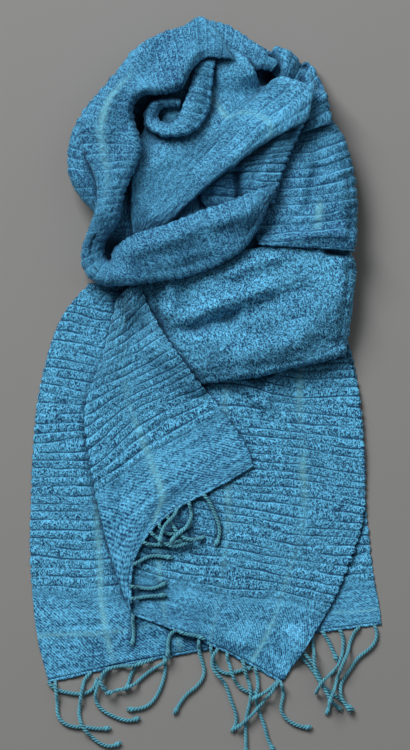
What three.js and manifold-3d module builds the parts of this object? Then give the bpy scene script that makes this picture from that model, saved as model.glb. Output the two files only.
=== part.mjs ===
// A narrow handwoven silk scarf, crinkled across its width, dropped on a flat surface: the middle
// is wound into a loose heap and both ends lie below it, one spread flat and one folded over on top.
//
// Millimetres, +Z up. X runs across the scarf's tails and Y from the fringes towards the heap.
// Every stretch of cloth that shows is one wall, lofted through the sections of a short table and
// then laid on whatever is already below it, the way the real cloth was dropped.
import * as THREE from "three";
import { mergeVertices } from "three/addons/utils/BufferGeometryUtils.js";
import Module from "manifold-3d";

// ---------------------------------------------------------------- driving dimensions
const CLOTH = 1.6; // thickness of the crinkled cloth
const LAYER_GAP = 0.4; // air between one layer and the next
const SEAM_GAP = 0.3; // between a hem and its fringe strip
const RIB_PITCH = 9; // crinkle ribs, crest to crest
const RIB_HEIGHT = 0.8; // how far a rib stands proud of the groove beside it
const SECTION_STEP = 2 * RIB_PITCH; // spacing of the sections along a stretch
const CURL_ANGLES = [50, 100, 145]; // degrees turned at each section round a folded edge
const STRAND = 3; // diameter of a twisted fringe strand
const STRAND_SIDES = 4;
const STRAND_STEPS = 10;
const STRIP = 3.5; // width of the knotted strip that the strands hang from
const CELL = 2; // grid of the height map that records the heap
const HALF_WIDTH = 230; // the height map reaches this far in X
const HALF_LENGTH = 430; // and this far in Y
const BRIDGE = 6; // how far cloth bridges past a step below it

const SILK = { light: 0x4a93bb, mid: 0x3f86ae, deep: 0x2f739a, thread: 0x2f8094 };

// ---------------------------------------------------------------- tables
// A table is a header of column names and one row of numbers for each section, fold or strand.
const table = (columns, rows) =>
  rows.map((row) => Object.fromEntries(columns.split(" ").map((name, i) => [name, row[i]])));

// A section runs from its left point to its right point; bow moves its middle to the left-hand
// side of that line, more so towards its left end where a stretch has a skew. The rises are the
// heights of the cloth above what it lies on.
const SECTION = "leftX leftY rightX rightY leftRise crown rightRise bow";
const FOLD = "fromX fromY toX toY width rise";
// A strand starts at a share of its hem, and turns by three angles over the thirds of its length.
const STRANDS = "share length heading turn1 turn2 turn3";

// The spread end: the full width of the scarf, flat on the surface.
const UNDER_TAIL = table(SECTION, [
  [-115, 92, 110, 86, 0, 0, 0, 0],
  [-132, 74, 128, 68, 0, 0, 0, 0],
  [-147, 50, 140, 42, 0, 0, 0, 0],
  [-160, 10, 150, 6, 0, 0, 0, 0],
  [-168, -30, 155, -32, 0, 0, 0, 0],
  [-172, -75, 158, -74, 0, 0, 0, 0],
  [-174, -125, 160, -120, 0, 0, 0, 0],
  [-175, -175, 164, -163, 0, 0, 0, 0],
  [-172, -225, 169, -203, 0, 0, 0, 2],
  [-167, -265, 174, -230, 0, 0, 0, 4],
  [-157, -305, 176, -247, 0, 0, 0, 5],
]);
const UNDER_TAIL_FOLDS = table(FOLD, [
  [-92, 80, -98, -20, 11, 3],
  [-140, 60, -155, -60, 9, 2],
  [-66, -235, -30, -268, 9, 5],
  [-150, -150, -120, -280, 10, 1.5],
]);

// The other end, lying on the spread one.
const OVER_TAIL = table(SECTION, [
  [-60, 40, 140, 20, 1, 2, 3, 0],
  [-92, 15, 149, 0, 1, 2, 3, 0],
  [-116, -15, 155, -35, 1, 1.5, 3, 0],
  [-118, -50, 158, -80, 0.5, 1, 2.5, 0],
  [-113, -88, 160, -125, 0.5, 1, 2, 0],
  [-108, -125, 154, -160, 0.5, 1, 1.5, 0],
  [-100, -160, 139, -200, 0.5, 1, 1, 0],
  [-92, -190, 124, -233, 0.5, 1, 1, 0],
  [-84, -213, 107, -263, 0.5, 1, 0.5, 0],
  [-78, -228, 92, -286, 0.5, 1, 0.5, 2],
  [-73, -237, 78, -306, 0.5, 1, 0.5, 5],
]);
const OVER_TAIL_FOLDS = table(FOLD, [
  [36, 2, 52, -24, 6, 7],
  [66, -4, 60, -30, 7, 5],
  [60, -8, 92, -120, 13, 3],
  [10, -30, 30, -90, 10, 3],
  [-10, -225, 34, -268, 12, 2.5],
  [80, -300, 120, -215, 8, 2],
  [10, -120, 70, -165, 16, 2],
]);

// The corner of that end, turned over towards the left and lying on top.
const TURNED_END = table(SECTION, [
  [-88, 76, -65, 97, 5, 4, 4, 0],
  [-95, 46, -61, 80, 5, 5, 3, 0],
  [-103, 18, -51, 58, 5, 4, 3, 0],
  [-113, -10, -37, 35, 6, 4, 3, 0],
  [-119, -38, -21, 13, 6, 3, 2, 0],
  [-117, -68, -7, -6, 6, 2.5, 0.5, 0],
  [-113, -95, 8, -24, 5, 2, 0.5, 0],
  [-109, -122, 22, -42, 5, 2, 0.5, 0],
  [-101, -150, 35, -61, 5, 2, 0.5, 3],
  [-93, -180, 43, -75, 5, 1.5, 0.5, 12],
  [-84, -209, 46, -83, 5, 1, 0.5, 25],
  [-74, -236, 47, -89, 4, 1, 0.5, 35],
]);
const TURNED_END_FOLDS = table(FOLD, [
  [-104, -130, -80, -225, 11, 3],
  [-78, 90, -96, 10, 12, 4],
  [-84, -94, -83, -150, 7, -3],
]);

// The broad band below the heap, folded over at its lower edge.
const LOWER_BAND = table(SECTION, [
  [-66, 106, 132, 140, 0, 4, 8, 0],
  [-70, 84, 149, 113, 0, 6, 12, 0],
  [-64, 60, 149, 90, 0, 9, 14, 0],
  [-52, 34, 146, 66, 0, 10, 15, 0],
  [-36, 12, 143, 43, 1, 10, 15, 0],
  [-18, -10, 139, 21, 3, 8, 14, -5],
]);
const LOWER_BAND_FOLDS = table(FOLD, [
  [-36, 96, -34, 62, 8, 9],
  [-55, 90, -49, 52, 6, -6],
  [27, 101, 68, 115, 6, 5],
  [-30, 52, 8, 68, 7, 5],
  [8, 68, 61, 86, 8, 5],
  [-12, 45, 27, 57, 7, -5],
  [27, 57, 96, 85, 9, -5],
  [33, 14, 96, 38, 12, 6],
  [96, 38, 134, 79, 12, 4],
  [124, 123, 149, 119, 5, -9],
]);

// The broad panel at the right of the heap.
const RIGHT_PANEL = table(SECTION, [
  [82, 280, 118, 274, 1, 3, 8, 0],
  [80, 252, 126, 254, 1, 3, 10, -4],
  [72, 224, 139, 233, 2, 3, 12, -6],
  [65, 199, 147, 210, 2, 4, 12, -7],
  [60, 177, 151, 185, 3, 5, 12, -6],
  [55, 158, 152, 160, 5, 5, 10, -4],
  [51, 140, 151, 136, 2, 3, 6, 0],
  [54, 130, 148, 123, 0, 0.5, 4, 0],
]);
const RIGHT_PANEL_FOLDS = table(FOLD, [
  [60, 141, 142, 138, 5, 3],
  [96, 246, 78, 176, 9, -3],
  [110, 204, 103, 166, 6, -5],
  [116, 209, 146, 219, 3, 2.5],
  [112, 191, 146, 205, 3, 2.5],
  [128, 190, 138, 150, 8, 2],
]);

// The bunched, ruffled edge at the top right.
const TOP_RUFFLE = table(SECTION, [
  [54, 326, 48, 306, 6, 2, 4, 0],
  [63, 319, 57, 303, 3, 1, 3, 0],
  [71, 327, 66, 301, 10, 3, 5, 0],
  [86, 321, 77, 288, 10, 3, 5, 0],
  [95, 311, 81, 280, 3, 1, 3, 0],
  [104, 311, 86, 277, 11, 3, 5, 0],
  [115, 294, 92, 268, 9, 2, 5, 0],
  [122, 271, 95, 254, 8, 2, 4, 0],
  [125, 249, 95, 240, 6, 2, 3, 0],
]);
const TOP_RUFFLE_FOLDS = table(FOLD, [
  [68, 330, 66, 312, 5, -12],
  [99, 312, 96, 292, 5, -12],
  [58, 324, 54, 304, 6, 5],
  [84, 318, 82, 292, 7, 5],
  [112, 300, 104, 276, 7, 5],
]);

// The strip across the very top.
const TOP_STRIP = table(SECTION, [
  [-9, 352, -4, 324, 3, 3, 5, 0],
  [13, 352, 9, 312, 4, 3, 7, 0],
  [35, 342, 26, 302, 4, 3, 7, 0],
  [51, 329, 41, 299, 4, 3, 6, 0],
  [62, 317, 55, 303, 4, 3, 5, 0],
  [72, 309, 66, 301, 3, 2, 3, 0],
]);

// The outer turn at the left, behind the collar.
const OUTER_TURN = table(SECTION, [
  [-100, 287, -65, 265, 4, 2, 2, 0],
  [-119, 265, -75, 247, 8, 2, 2, 0],
  [-131, 242, -80, 225, 12, 2, 3, 0],
  [-136, 217, -83, 205, 13, 3, 4, 0],
  [-132, 191, -87, 185, 13, 3, 4, 0],
  [-118, 170, -93, 170, 11, 2, 4, 0],
  [-108, 161, -95, 161, 6, 1, 3, 0],
]);

// A sunk fold inside the heap, between the cross band and the collar.
const INNER_FOLD = table(SECTION, [
  [55, 238, 99, 252, 7, 7, 11, 0],
  [41, 219, 90, 231, 6, 8, 10, 0],
  [12, 201, 79, 208, 4, 7, 8, 0],
  [-6, 184, 72, 187, 3, 6, 7, 0],
  [2, 166, 67, 170, 2, 4, 5, 0],
]);
const INNER_FOLD_FOLDS = table(FOLD, [
  [31, 200, 36, 168, 5, -9],
  [12, 190, 12, 170, 8, 4],
]);

// The wide diagonal band across the heap, folded under along its lower edge.
const CROSS_BAND = table(SECTION, [
  [-70, 138, 20, 328, 3, 5, 3, 38],
  [-68, 139, 37, 317, 2, 8, 5, 28],
  [-65, 140, 48, 304, 1, 8, 5, 16],
  [-61, 141, 57, 287, 1, 9, 5, 10],
  [-57, 142, 73, 296, 1, 10, 8, 6],
  [-53, 142, 94, 291, 1, 11, 10, 5],
  [-48, 143, 106, 278, 1, 12, 6, 5],
  [-43, 144, 101, 252, 1, 13, 1, 8],
]);
const CROSS_BAND_FOLDS = table(FOLD, [
  [5, 300, 5, 266, 7, -4],
  [-60, 205, 30, 250, 14, 4],
  [-62, 175, -45, 150, 10, 3],
  [68, 226, 104, 254, 15, -8],
]);

// The twisted ridge and the small coil at the eye of the heap.
const COIL = table(SECTION, [
  [12, 318, -4, 323, 2, 1, 3, 0],
  [8, 300, -11, 306, 3, 6, 11, 0],
  [6, 280, -15, 286, 3, 7, 15, 0],
  [2, 259, -23, 264, 5, 6, 15, 0],
  [-10, 242, -27, 254, 9, 5, 12, 0],
  [-28, 236, -33, 249, 12, 3, 8, 0],
  [-46, 238, -38, 249, 12, 3, 5, 0],
  [-59, 248, -46, 254, 12, 3, 3, 0],
  [-59, 262, -46, 260, 12, 3, 3, 0],
  [-50, 272, -41, 265, 12, 2, 3, 0],
  [-36, 274, -32, 266, 12, 2, 3, 0],
  [-24, 272, -24, 265, 11, 2, 3, 0],
]);

// The collar: over the top, down the left side, round the tight turn and across as a roll.
const COLLAR = table(SECTION, [
  [25, 320, 28, 313, 0, 0.5, 0.5, 0],
  [14, 338, 15, 314, 3, 2, 1, 0],
  [-2, 356, 0, 314, 9, 4, 4, 0],
  [-22, 347, -13, 302, 17, 4, 11, 0],
  [-43, 340, -24, 284, 19, 5, 14, 0],
  [-65, 327, -42, 278, 20, 6, 16, 0],
  [-87, 302, -60, 277, 20, 6, 17, 0],
  [-108, 277, -71, 266, 19, 6, 18, 0],
  [-121, 250, -69, 249, 16, 7, 17, 0],
  [-121, 225, -63, 229, 9, 9, 15, 0],
  [-112, 203, -68, 209, 7, 11, 14, 0],
  [-107, 185, -76, 190, 11, 8, 14, 0],
  [-109, 165, -82, 169, 14, 7, 14, 0],
  [-116, 143, -87, 149, 16, 6, 14, 0],
  [-123, 120, -98, 134, 17, 5, 13, 0],
  [-117, 100, -99, 120, 17, 4, 12, 0],
  [-99, 89, -94, 114, 14, 4, 12, 0],
  [-73, 89, -90, 126, 7, 8, 12, 0],
  [-45, 93, -69, 139, 2, 13, 14, 0],
  [-15, 98, -40, 148, 0, 14, 14, 0],
  [15, 110, -5, 162, 0, 14, 14, 0],
  [39, 126, 30, 174, 0, 13, 13, 0],
  [50, 141, 48, 181, 3, 8, 10, 0],
  [59, 160, 62, 186, 6, 4, 7, 0],
  [68, 180, 72, 188, 3, 1, 4, 0],
]);
const COLLAR_FOLDS = table(FOLD, [
  [-44, 327, 2, 329, 9, -6],
  [-60, 318, -30, 330, 10, 3],
  [-100, 240, -104, 196, 8, 2],
  [-72, 121, 42, 160, 10, 7],
]);

// The hidden layers: sections of the heap's inside, and hollows pressed into it.
const HEAP = table("leftX leftY rightX rightY height", [
  [-30, 343, 30, 343, 14],
  [-70, 315, 76, 315, 22],
  [-95, 285, 103, 285, 26],
  [-114, 255, 112, 255, 28],
  [-123, 225, 130, 225, 28],
  [-120, 195, 138, 195, 28],
  [-103, 165, 141, 165, 28],
  [-104, 135, 140, 135, 28],
  [-98, 108, 137, 108, 24],
  [-60, 78, 135, 84, 20],
  [-38, 48, 132, 62, 16],
  [-18, 24, 128, 44, 11],
  [0, 8, 118, 32, 5],
]);
const HOLLOWS = table("x y reach depth", [
  [-56, 250, 27, 27],
  [18, 182, 22, 9],
  [-78, 190, 14, 8],
  [-94, 122, 12, 14],
  [65, 297, 10, 20],
]);
const HEAP_LAYERS = table("low high inset", [
  [0, 0.36, 3],
  [0.33, 0.69, 0],
  [0.66, 1, 4],
]);
const HEAP_ROUNDING = 6;
const HEAP_FLOOR_REACH = 15; // cells of the height map between its sections

// Fringe: the strands of each hem, in the order in which they lie on each other.
const UNDER_STRANDS = table(STRANDS, [
  [0.0, 62, -62, 50, 32, 57],
  [0.02, 93, -95, 18, 80, -5],
  [0.13, 105, -130, 38, 42, 85],
  [0.186, 89, -145, 55, 68, 45],
  [0.28, 34, -135, 15, 5, 5],
  [0.315, 72, -165, -10, 22, 125],
  [0.35, 76, -88, -10, -50, -30],
  [0.37, 77, -136, -6, -12, -10],
  [0.73, 100, -65, 12, 6, 20],
  [0.745, 90, -68, 14, -12, -45],
  [0.796, 87, -102, 26, 10, 40],
  [0.823, 34, -62, 0, 4, 0],
  [0.874, 75, -48, -62, -25, 20],
  [0.937, 86, -140, 40, -18, 25],
  [0.979, 103, -72, -75, 38, 65],
]);
const OVER_STRANDS = table(STRANDS, [
  [0.01, 32, -97, 3, 2, 0],
  [0.29, 30, -150, 40, 10, 0],
  [0.305, 28, -25, 8, -5, -10],
  [0.44, 87, -85, 5, -72, 52],
  [0.52, 62, -95, 40, 60, 20],
  [0.57, 93, -122, 70, -18, -50],
  [0.63, 60, -90, 15, 45, 20],
  [0.735, 97, -62, -28, -12, 28],
  [0.82, 89, -80, -10, 22, 4],
  [0.985, 34, -135, -6, -4, 0],
  [0.99, 66, -128, 8, -25, 15],
  [0.997, 68, -66, -32, 60, 62],
]);
const TURNED_STRANDS = table(STRANDS, [
  [0.02, 36, -4, 6, 10, 4],
  [0.07, 38, -8, 8, 16, 4],
  [0.17, 42, 20, 0, -18, -5],
  [0.3, 44, -20, 10, 25, 10],
  [0.37, 48, -50, 25, 30, 20],
  [0.44, 42, -75, 50, 55, 10],
  [0.5, 50, -80, 30, 45, 20],
  [0.56, 40, -100, -30, 10, 30],
  [0.63, 50, -70, -40, -25, 10],
  [0.71, 58, -35, -30, -25, -22],
]);

// ---------------------------------------------------------------- sections
const lerp = (a, b, t) => a + (b - a) * t;
const radians = (degrees) => (degrees * Math.PI) / 180;

// Every column of a table at a share of its length, by a Catmull-Rom spline through its rows.
function sectionAt(rows, share) {
  const at = Math.min(Math.max(share, 0), 1) * (rows.length - 1);
  const i = Math.min(Math.floor(at), rows.length - 2);
  const t = at - i;
  const [p, q, r, s] = [i - 1, i, i + 1, i + 2].map(
    (k) => rows[Math.min(Math.max(k, 0), rows.length - 1)],
  );
  const blend = (name) => {
    const [a, b, c, d] = [p[name], q[name], r[name], s[name]];
    return b + 0.5 * t * (c - a + t * (2 * a - 5 * b + 4 * c - d + t * (3 * (b - c) + d - a)));
  };
  return Object.fromEntries(Object.keys(q).map((name) => [name, blend(name)]));
}

// The plan point of a section at a share of its width.
function planPoint(section, share, skew = 0) {
  const dx = section.rightX - section.leftX;
  const dy = section.rightY - section.leftY;
  const width = Math.hypot(dx, dy);
  const lean = 1 + skew * (1 - 2 * share);
  const bow = ((section.bow ?? 0) * 4 * share * (1 - share) * lean) / width;
  return [section.leftX + dx * share - dy * bow, section.leftY + dy * share + dx * bow];
}

const widthOf = (section) =>
  Math.hypot(section.rightX - section.leftX, section.rightY - section.leftY);

// The shares of a table at even steps along the middle of its stretch, and that middle's length.
function evenShares(rows, step) {
  const samples = 240;
  const along = [0];
  let last = planPoint(sectionAt(rows, 0), 0.5);
  for (let i = 1; i <= samples; i++) {
    const next = planPoint(sectionAt(rows, i / samples), 0.5);
    along.push(along[i - 1] + Math.hypot(next[0] - last[0], next[1] - last[1]));
    last = next;
  }
  const length = along[samples];
  const count = Math.max(2, Math.round(length / step));
  const shareAt = (distance) => {
    const i = Math.max(1, along.findIndex((d) => d >= distance - 1e-9));
    return (i - 1 + (distance - along[i - 1]) / (along[i] - along[i - 1])) / samples;
  };
  return { length, count, shareAt };
}

// How far the folds of a table raise the cloth at a plan point: soft ridges, or troughs below zero.
function foldRise(folds, x, y) {
  let rise = 0;
  for (const f of folds) {
    const dx = f.toX - f.fromX;
    const dy = f.toY - f.fromY;
    const long = dx * dx + dy * dy;
    const t = ((x - f.fromX) * dx + (y - f.fromY) * dy) / long;
    const inside = Math.min(Math.max(t, 0), 1);
    const off = Math.hypot(x - f.fromX - dx * inside, y - f.fromY - dy * inside) / f.width;
    rise += f.rise * Math.exp(-off * off);
  }
  return rise;
}

// ---------------------------------------------------------------- the heap so far
// A height map of everything laid so far. Cloth is laid on it, and then added to it.
const MAP_X = (2 * HALF_WIDTH) / CELL;
const MAP_Y = (2 * HALF_LENGTH) / CELL;
const heights = new Float64Array(MAP_X * MAP_Y);

function cellOf(x, y) {
  const i = Math.min(Math.max(Math.floor((x + HALF_WIDTH) / CELL), 0), MAP_X - 1);
  const j = Math.min(Math.max(Math.floor((y + HALF_LENGTH) / CELL), 0), MAP_Y - 1);
  return j * MAP_X + i;
}

// One pass of a filter over the map's rows or columns.
function filtered(map, reach, stride, combine) {
  const out = new Float64Array(map.length);
  for (let j = 0; j < MAP_Y; j++)
    for (let i = 0; i < MAP_X; i++) {
      const place = stride === 1 ? i : j;
      const most = stride === 1 ? MAP_X : MAP_Y;
      const from = Math.max(0, place - reach) - place;
      const to = Math.min(most - 1, place + reach) - place;
      const values = [];
      for (let k = from; k <= to; k++) values.push(map[j * MAP_X + i + k * stride]);
      out[j * MAP_X + i] = combine(values);
    }
  return out;
}
const highest = (values) => Math.max(...values);
const mean = (values) => values.reduce((sum, v) => sum + v, 0) / values.length;
const spreadOut = (map, reach) =>
  filtered(filtered(map, reach, 1, highest), reach, MAP_X, highest);
const blurred = (map, reach) => filtered(filtered(map, reach, 1, mean), reach, MAP_X, mean);

// Points all over a triangle, no further apart than the map's cells.
function* pointsOn(a, b, c) {
  const longest = Math.max(
    Math.hypot(b[0] - a[0], b[1] - a[1], b[2] - a[2]),
    Math.hypot(c[0] - a[0], c[1] - a[1], c[2] - a[2]),
    Math.hypot(c[0] - b[0], c[1] - b[1], c[2] - b[2]),
  );
  const n = Math.max(1, Math.ceil((1.2 * longest) / CELL));
  for (let i = 0; i <= n; i++)
    for (let j = 0; j <= n - i; j++) {
      const u = i / n;
      const v = j / n;
      const w = 1 - u - v;
      yield [0, 1, 2].map((k) => a[k] * w + b[k] * u + c[k] * v);
    }
}

// Adds a finished mesh to the height map.
function record({ points, faces }) {
  for (const [a, b, c] of faces)
    for (const [x, y, z] of pointsOn(points[a], points[b], points[c])) {
      const cell = cellOf(x, y);
      if (z > heights[cell]) heights[cell] = z;
    }
}

// ---------------------------------------------------------------- laying cloth
// Stations across or along a stretch: its folded edges turn under through CURL_ANGLES, and base
// says which plain station a turned one hangs from.
function stations(count, startsFolded, endsFolded) {
  const made = [];
  const turned = (side, base, angles) =>
    angles.forEach((angle) => made.push({ side, base, angle: radians(angle), share: base / count }));
  if (startsFolded) turned(-1, 0, [...CURL_ANGLES].reverse());
  for (let k = 0; k <= count; k++) made.push({ side: 0, base: k, angle: 0, share: k / count });
  if (endsFolded) turned(1, count, CURL_ANGLES);
  return made;
}

// Where a station lies, as a share of a length whose two edges curl over the given distances.
function stationShare(station, startCurl, endCurl) {
  if (station.side < 0) return startCurl * (1 - Math.sin(station.angle));
  if (station.side > 0) return 1 - endCurl * (1 - Math.sin(station.angle));
  return lerp(startCurl, 1 - endCurl, station.share);
}
const stationRise = (station) => (1 + Math.cos(station.angle)) / 2;

const subtract = (a, b) => a.map((v, k) => v - b[k]);
const cross = (a, b) => [
  a[1] * b[2] - a[2] * b[1],
  a[2] * b[0] - a[0] * b[2],
  a[0] * b[1] - a[1] * b[0],
];
const unit = (a) => {
  const size = Math.hypot(...a) || 1;
  return a.map((v) => v / size);
};

// Unit normals of a grid of points, from its neighbours.
function gridNormals(grid) {
  const last = grid.length - 1;
  const end = grid[0].length - 1;
  return grid.map((row, i) =>
    row.map((_, j) => {
      const along = subtract(grid[Math.min(i + 1, last)][j], grid[Math.max(i - 1, 0)][j]);
      const across = subtract(grid[i][Math.min(j + 1, end)], grid[i][Math.max(j - 1, 0)]);
      return unit(cross(across, along));
    }),
  );
}
const moved = (grid, normals, distance) =>
  grid.map((row, i) => row.map((p, j) => p.map((v, k) => v + normals[i][j][k] * distance)));

// A point of an underside, flat on the surface where it comes down to it.
const settled = ([x, y, z]) => [x, y, z < 0.5 ? 0 : z];

// Finer rows between those of a grid, each second one raised into a rib.
function ribbed(grid, normals, perRow, isRibbed) {
  const out = [];
  for (let i = 0; i < grid.length; i++)
    for (let s = 0; s < (i === grid.length - 1 ? 1 : perRow); s++) {
      const t = s / perRow;
      const next = Math.min(i + 1, grid.length - 1);
      const raise = s % 2 === 1 && isRibbed(i) ? RIB_HEIGHT : 0;
      out.push(
        grid[i].map((p, j) =>
          p.map((v, k) => lerp(v, grid[next][j][k], t) + normals[i][j][k] * raise),
        ),
      );
    }
  return out;
}

// A closed wall between an outer grid and an inner one whose rows are each perRow outer rows apart.
function closedWall(outer, inner, perRow) {
  const columns = inner[0].length;
  const points = [...outer.flat(), ...inner.flat()];
  const top = (i, j) => i * columns + j;
  const under = (i, j) => outer.length * columns + i * columns + j;
  const faces = [];
  for (let i = 0; i + 1 < outer.length; i++)
    for (let j = 0; j + 1 < columns; j++)
      faces.push(
        [top(i, j), top(i, j + 1), top(i + 1, j + 1)],
        [top(i, j), top(i + 1, j + 1), top(i + 1, j)],
      );
  for (let i = 0; i + 1 < inner.length; i++)
    for (let j = 0; j + 1 < columns; j++)
      faces.push(
        [under(i, j), under(i + 1, j + 1), under(i, j + 1)],
        [under(i, j), under(i + 1, j), under(i + 1, j + 1)],
      );
  for (let i = 0; i + 1 < inner.length; i++)
    for (const [j, flip] of [[0, false], [columns - 1, true]]) {
      const side = [];
      for (let s = 0; s < perRow; s++)
        side.push([under(i, j), top(i * perRow + s, j), top(i * perRow + s + 1, j)]);
      side.push([under(i, j), top((i + 1) * perRow, j), under(i + 1, j)]);
      faces.push(...(flip ? side.map(([a, b, c]) => [a, c, b]) : side));
    }
  for (const [i, k, flip] of [[0, 0, true], [outer.length - 1, inner.length - 1, false]])
    for (let j = 0; j + 1 < columns; j++) {
      const side = [
        [under(k, j), top(i, j), top(i, j + 1)],
        [under(k, j), top(i, j + 1), under(k, j + 1)],
      ];
      faces.push(...(flip ? side.map(([a, b, c]) => [a, c, b]) : side));
    }
  return facingOut({ points, faces });
}

// The mesh with its faces turned round if it came out inside out.
function facingOut(mesh) {
  let volume = 0;
  for (const [a, b, c] of mesh.faces) {
    const [p, q, r] = [mesh.points[a], mesh.points[b], mesh.points[c]];
    const n = cross(q, r);
    volume += p[0] * n[0] + p[1] * n[1] + p[2] * n[2];
  }
  if (volume < 0) mesh.faces = mesh.faces.map(([a, b, c]) => [a, c, b]);
  return mesh;
}

// Raises the lifts of a grid until none of its mesh reaches into what lies below. build makes the
// mesh from the lifts, and liftOf says which lift carries a point of it.
function clearOfHeap(lifts, build, liftOf) {
  const below = spreadOut(heights, 1);
  for (let round = 0; round < 40; round++) {
    const mesh = build();
    const raise = new Map();
    for (const face of mesh.faces) {
      let short = 0;
      for (const [x, y, z] of pointsOn(...face.map((v) => mesh.points[v]))) {
        const under = below[cellOf(x, y)];
        short = Math.max(short, under > 0 ? under + LAYER_GAP - z : -z);
      }
      if (short > 0.01)
        for (const v of face) {
          const at = liftOf(v);
          raise.set(at, Math.max(raise.get(at) ?? 0, short));
        }
    }
    if (!raise.size) return mesh;
    for (const [at, by] of raise) lifts[at] += by;
  }
  return build();
}

// Lays a stretch of cloth: its sections, folds and curled edges, on top of the heap so far.
// curls gives how far each edge turns over, in millimetres, and is nothing at a cut edge.
function lay(stretch) {
  const { rows, across, folds = [], curls = {}, skew = 0, ribs = false, ribbedTo = 1 } = stretch;
  const bridge = Math.round((stretch.bridge ?? BRIDGE) / CELL);
  const { length, count, shareAt } = evenShares(rows, SECTION_STEP);
  const along = stations(count, curls.start > 0, curls.end > 0);
  const over = stations(across, curls.left > 0, curls.right > 0);
  const soft = blurred(spreadOut(heights, bridge), Math.max(2, bridge - 1));
  const lifts = new Float64Array((count + 1) * (across + 1));
  const liftIndex = (i, j) => along[i].base * (across + 1) + over[j].base;
  const place = (row, column) => {
    const share = stationShare(row, (curls.start ?? 0) / length, (curls.end ?? 0) / length);
    const section = sectionAt(rows, shareAt(share * length));
    const width = widthOf(section);
    const curl = (side) => Math.min((curls[side] ?? 0) / width, 0.42);
    const at = stationShare(column, curl("left"), curl("right"));
    return { section, at, plan: planPoint(section, at, skew) };
  };
  const rise = (row, column) => {
    const plainRow = { ...row, side: 0 };
    const plainColumn = { ...column, side: 0 };
    const { section, at, plan } = place(plainRow, plainColumn);
    const arch = lerp(section.leftRise, section.rightRise, at) + section.crown * 4 * at * (1 - at);
    return Math.max(arch + foldRise(folds, ...plan), 0);
  };
  const flat = along.map((row) =>
    over.map((column) => {
      const [x, y] = place(row, column).plan;
      return [x, y, rise(row, column) * stationRise(row) * stationRise(column)];
    }),
  );
  along.forEach((row, i) => {
    if (row.side) return;
    over.forEach((column, j) => {
      if (!column.side) lifts[liftIndex(i, j)] = soft[cellOf(flat[i][j][0], flat[i][j][1])];
    });
  });
  const perRow = ribs ? (2 * SECTION_STEP) / RIB_PITCH : 1;
  const build = () => {
    const middle = flat.map((row, i) =>
      row.map(([x, y, z], j) => [x, y, z + CLOTH / 2 + lifts[liftIndex(i, j)]]),
    );
    const normals = gridNormals(middle);
    const up = normals[Math.floor(normals.length / 2)][Math.floor(over.length / 2)][2] < 0 ? -1 : 1;
    const facing = normals.map((row) => row.map((n) => n.map((v) => v * up)));
    const isRibbed = (i) => along[i].side === 0 && along[i].share < ribbedTo;
    const outer = moved(middle, facing, CLOTH / 2);
    const inner = moved(middle, facing, -CLOTH / 2).map((row) => row.map(settled));
    const mesh = closedWall(ribbed(outer, facing, perRow, isRibbed), inner, perRow);
    return { ...mesh, middle, facing, plain: over.map((column) => column.side === 0) };
  };
  const liftOf = (v) => {
    const topPoints = ((along.length - 1) * perRow + 1) * over.length;
    const inTop = v < topPoints;
    const row = Math.floor((inTop ? v : v - topPoints) / over.length);
    return liftIndex(inTop ? Math.floor(row / perRow) : row, v % over.length);
  };
  const mesh = clearOfHeap(lifts, build, liftOf);
  record(mesh);
  return mesh;
}

// ---------------------------------------------------------------- the hidden layers
// How high the inside of the heap stands at a plan point, with its hollows.
function hollowAt(x, y) {
  let depth = 0;
  for (const h of HOLLOWS) {
    const off = Math.hypot(x - h.x, y - h.y) / h.reach;
    depth += h.depth * Math.exp(-off * off);
  }
  return depth;
}

// One rounded layer of the heap's inside, between two shares of its height.
function heapLayer({ low, high, inset }) {
  const edge = [0, 2, HEAP_ROUNDING];
  const rowCount = 9;
  const columnCount = 6;
  const plain = (n) => Array.from({ length: n - 1 }, (_, k) => (k + 1) / n);
  const spots = (n) => [
    ...edge.map((d) => ({ from: 0, inward: d })),
    ...plain(n).map((share) => ({ share })),
    ...[...edge].reverse().map((d) => ({ from: 1, inward: d })),
  ];
  const shareOf = (spot, length) => {
    const reach = (HEAP_ROUNDING + inset) / length;
    if (spot.share !== undefined) return lerp(reach, 1 - reach, spot.share);
    const inward = (spot.inward + inset) / length;
    return spot.from ? 1 - inward : inward;
  };
  const roundness = (spot) => {
    if (spot.share !== undefined) return 1;
    return Math.sqrt(1 - (1 - spot.inward / HEAP_ROUNDING) ** 2);
  };
  const length = HEAP[0].leftY - HEAP[HEAP.length - 1].leftY;
  const down = spots(rowCount);
  const over = spots(columnCount);
  const full = down.map((row) => {
    const section = sectionAt(HEAP, shareOf(row, length));
    return over.map((column) => {
      const [x, y] = planPoint(section, shareOf(column, widthOf(section)));
      const height = Math.max(section.height - hollowAt(x, y), 3);
      const thick = ((high - low) / 2) * height * roundness(row) * roundness(column);
      return { x, y, middle: ((low + high) / 2) * height, thick };
    });
  });
  const floor = spreadOut(heights, HEAP_FLOOR_REACH);
  const top = full.map((row) => row.map(({ x, y, middle, thick }) => [x, y, middle + thick]));
  const under = full.map((row, i) =>
    row.map(({ x, y, middle, thick }, j) => {
      const below = floor[cellOf(x, y)];
      const ground = below > 0 ? below + LAYER_GAP : 0;
      const isInside = down[i].share !== undefined && over[j].share !== undefined;
      return [x, y, isInside ? ground : Math.max(middle - thick, ground)];
    }),
  );
  top.forEach((row, i) =>
    row.forEach((p, j) => (p[2] = Math.max(p[2], under[i][j][2] + CLOTH))),
  );
  return closedWall(top, under, 1);
}

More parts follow.
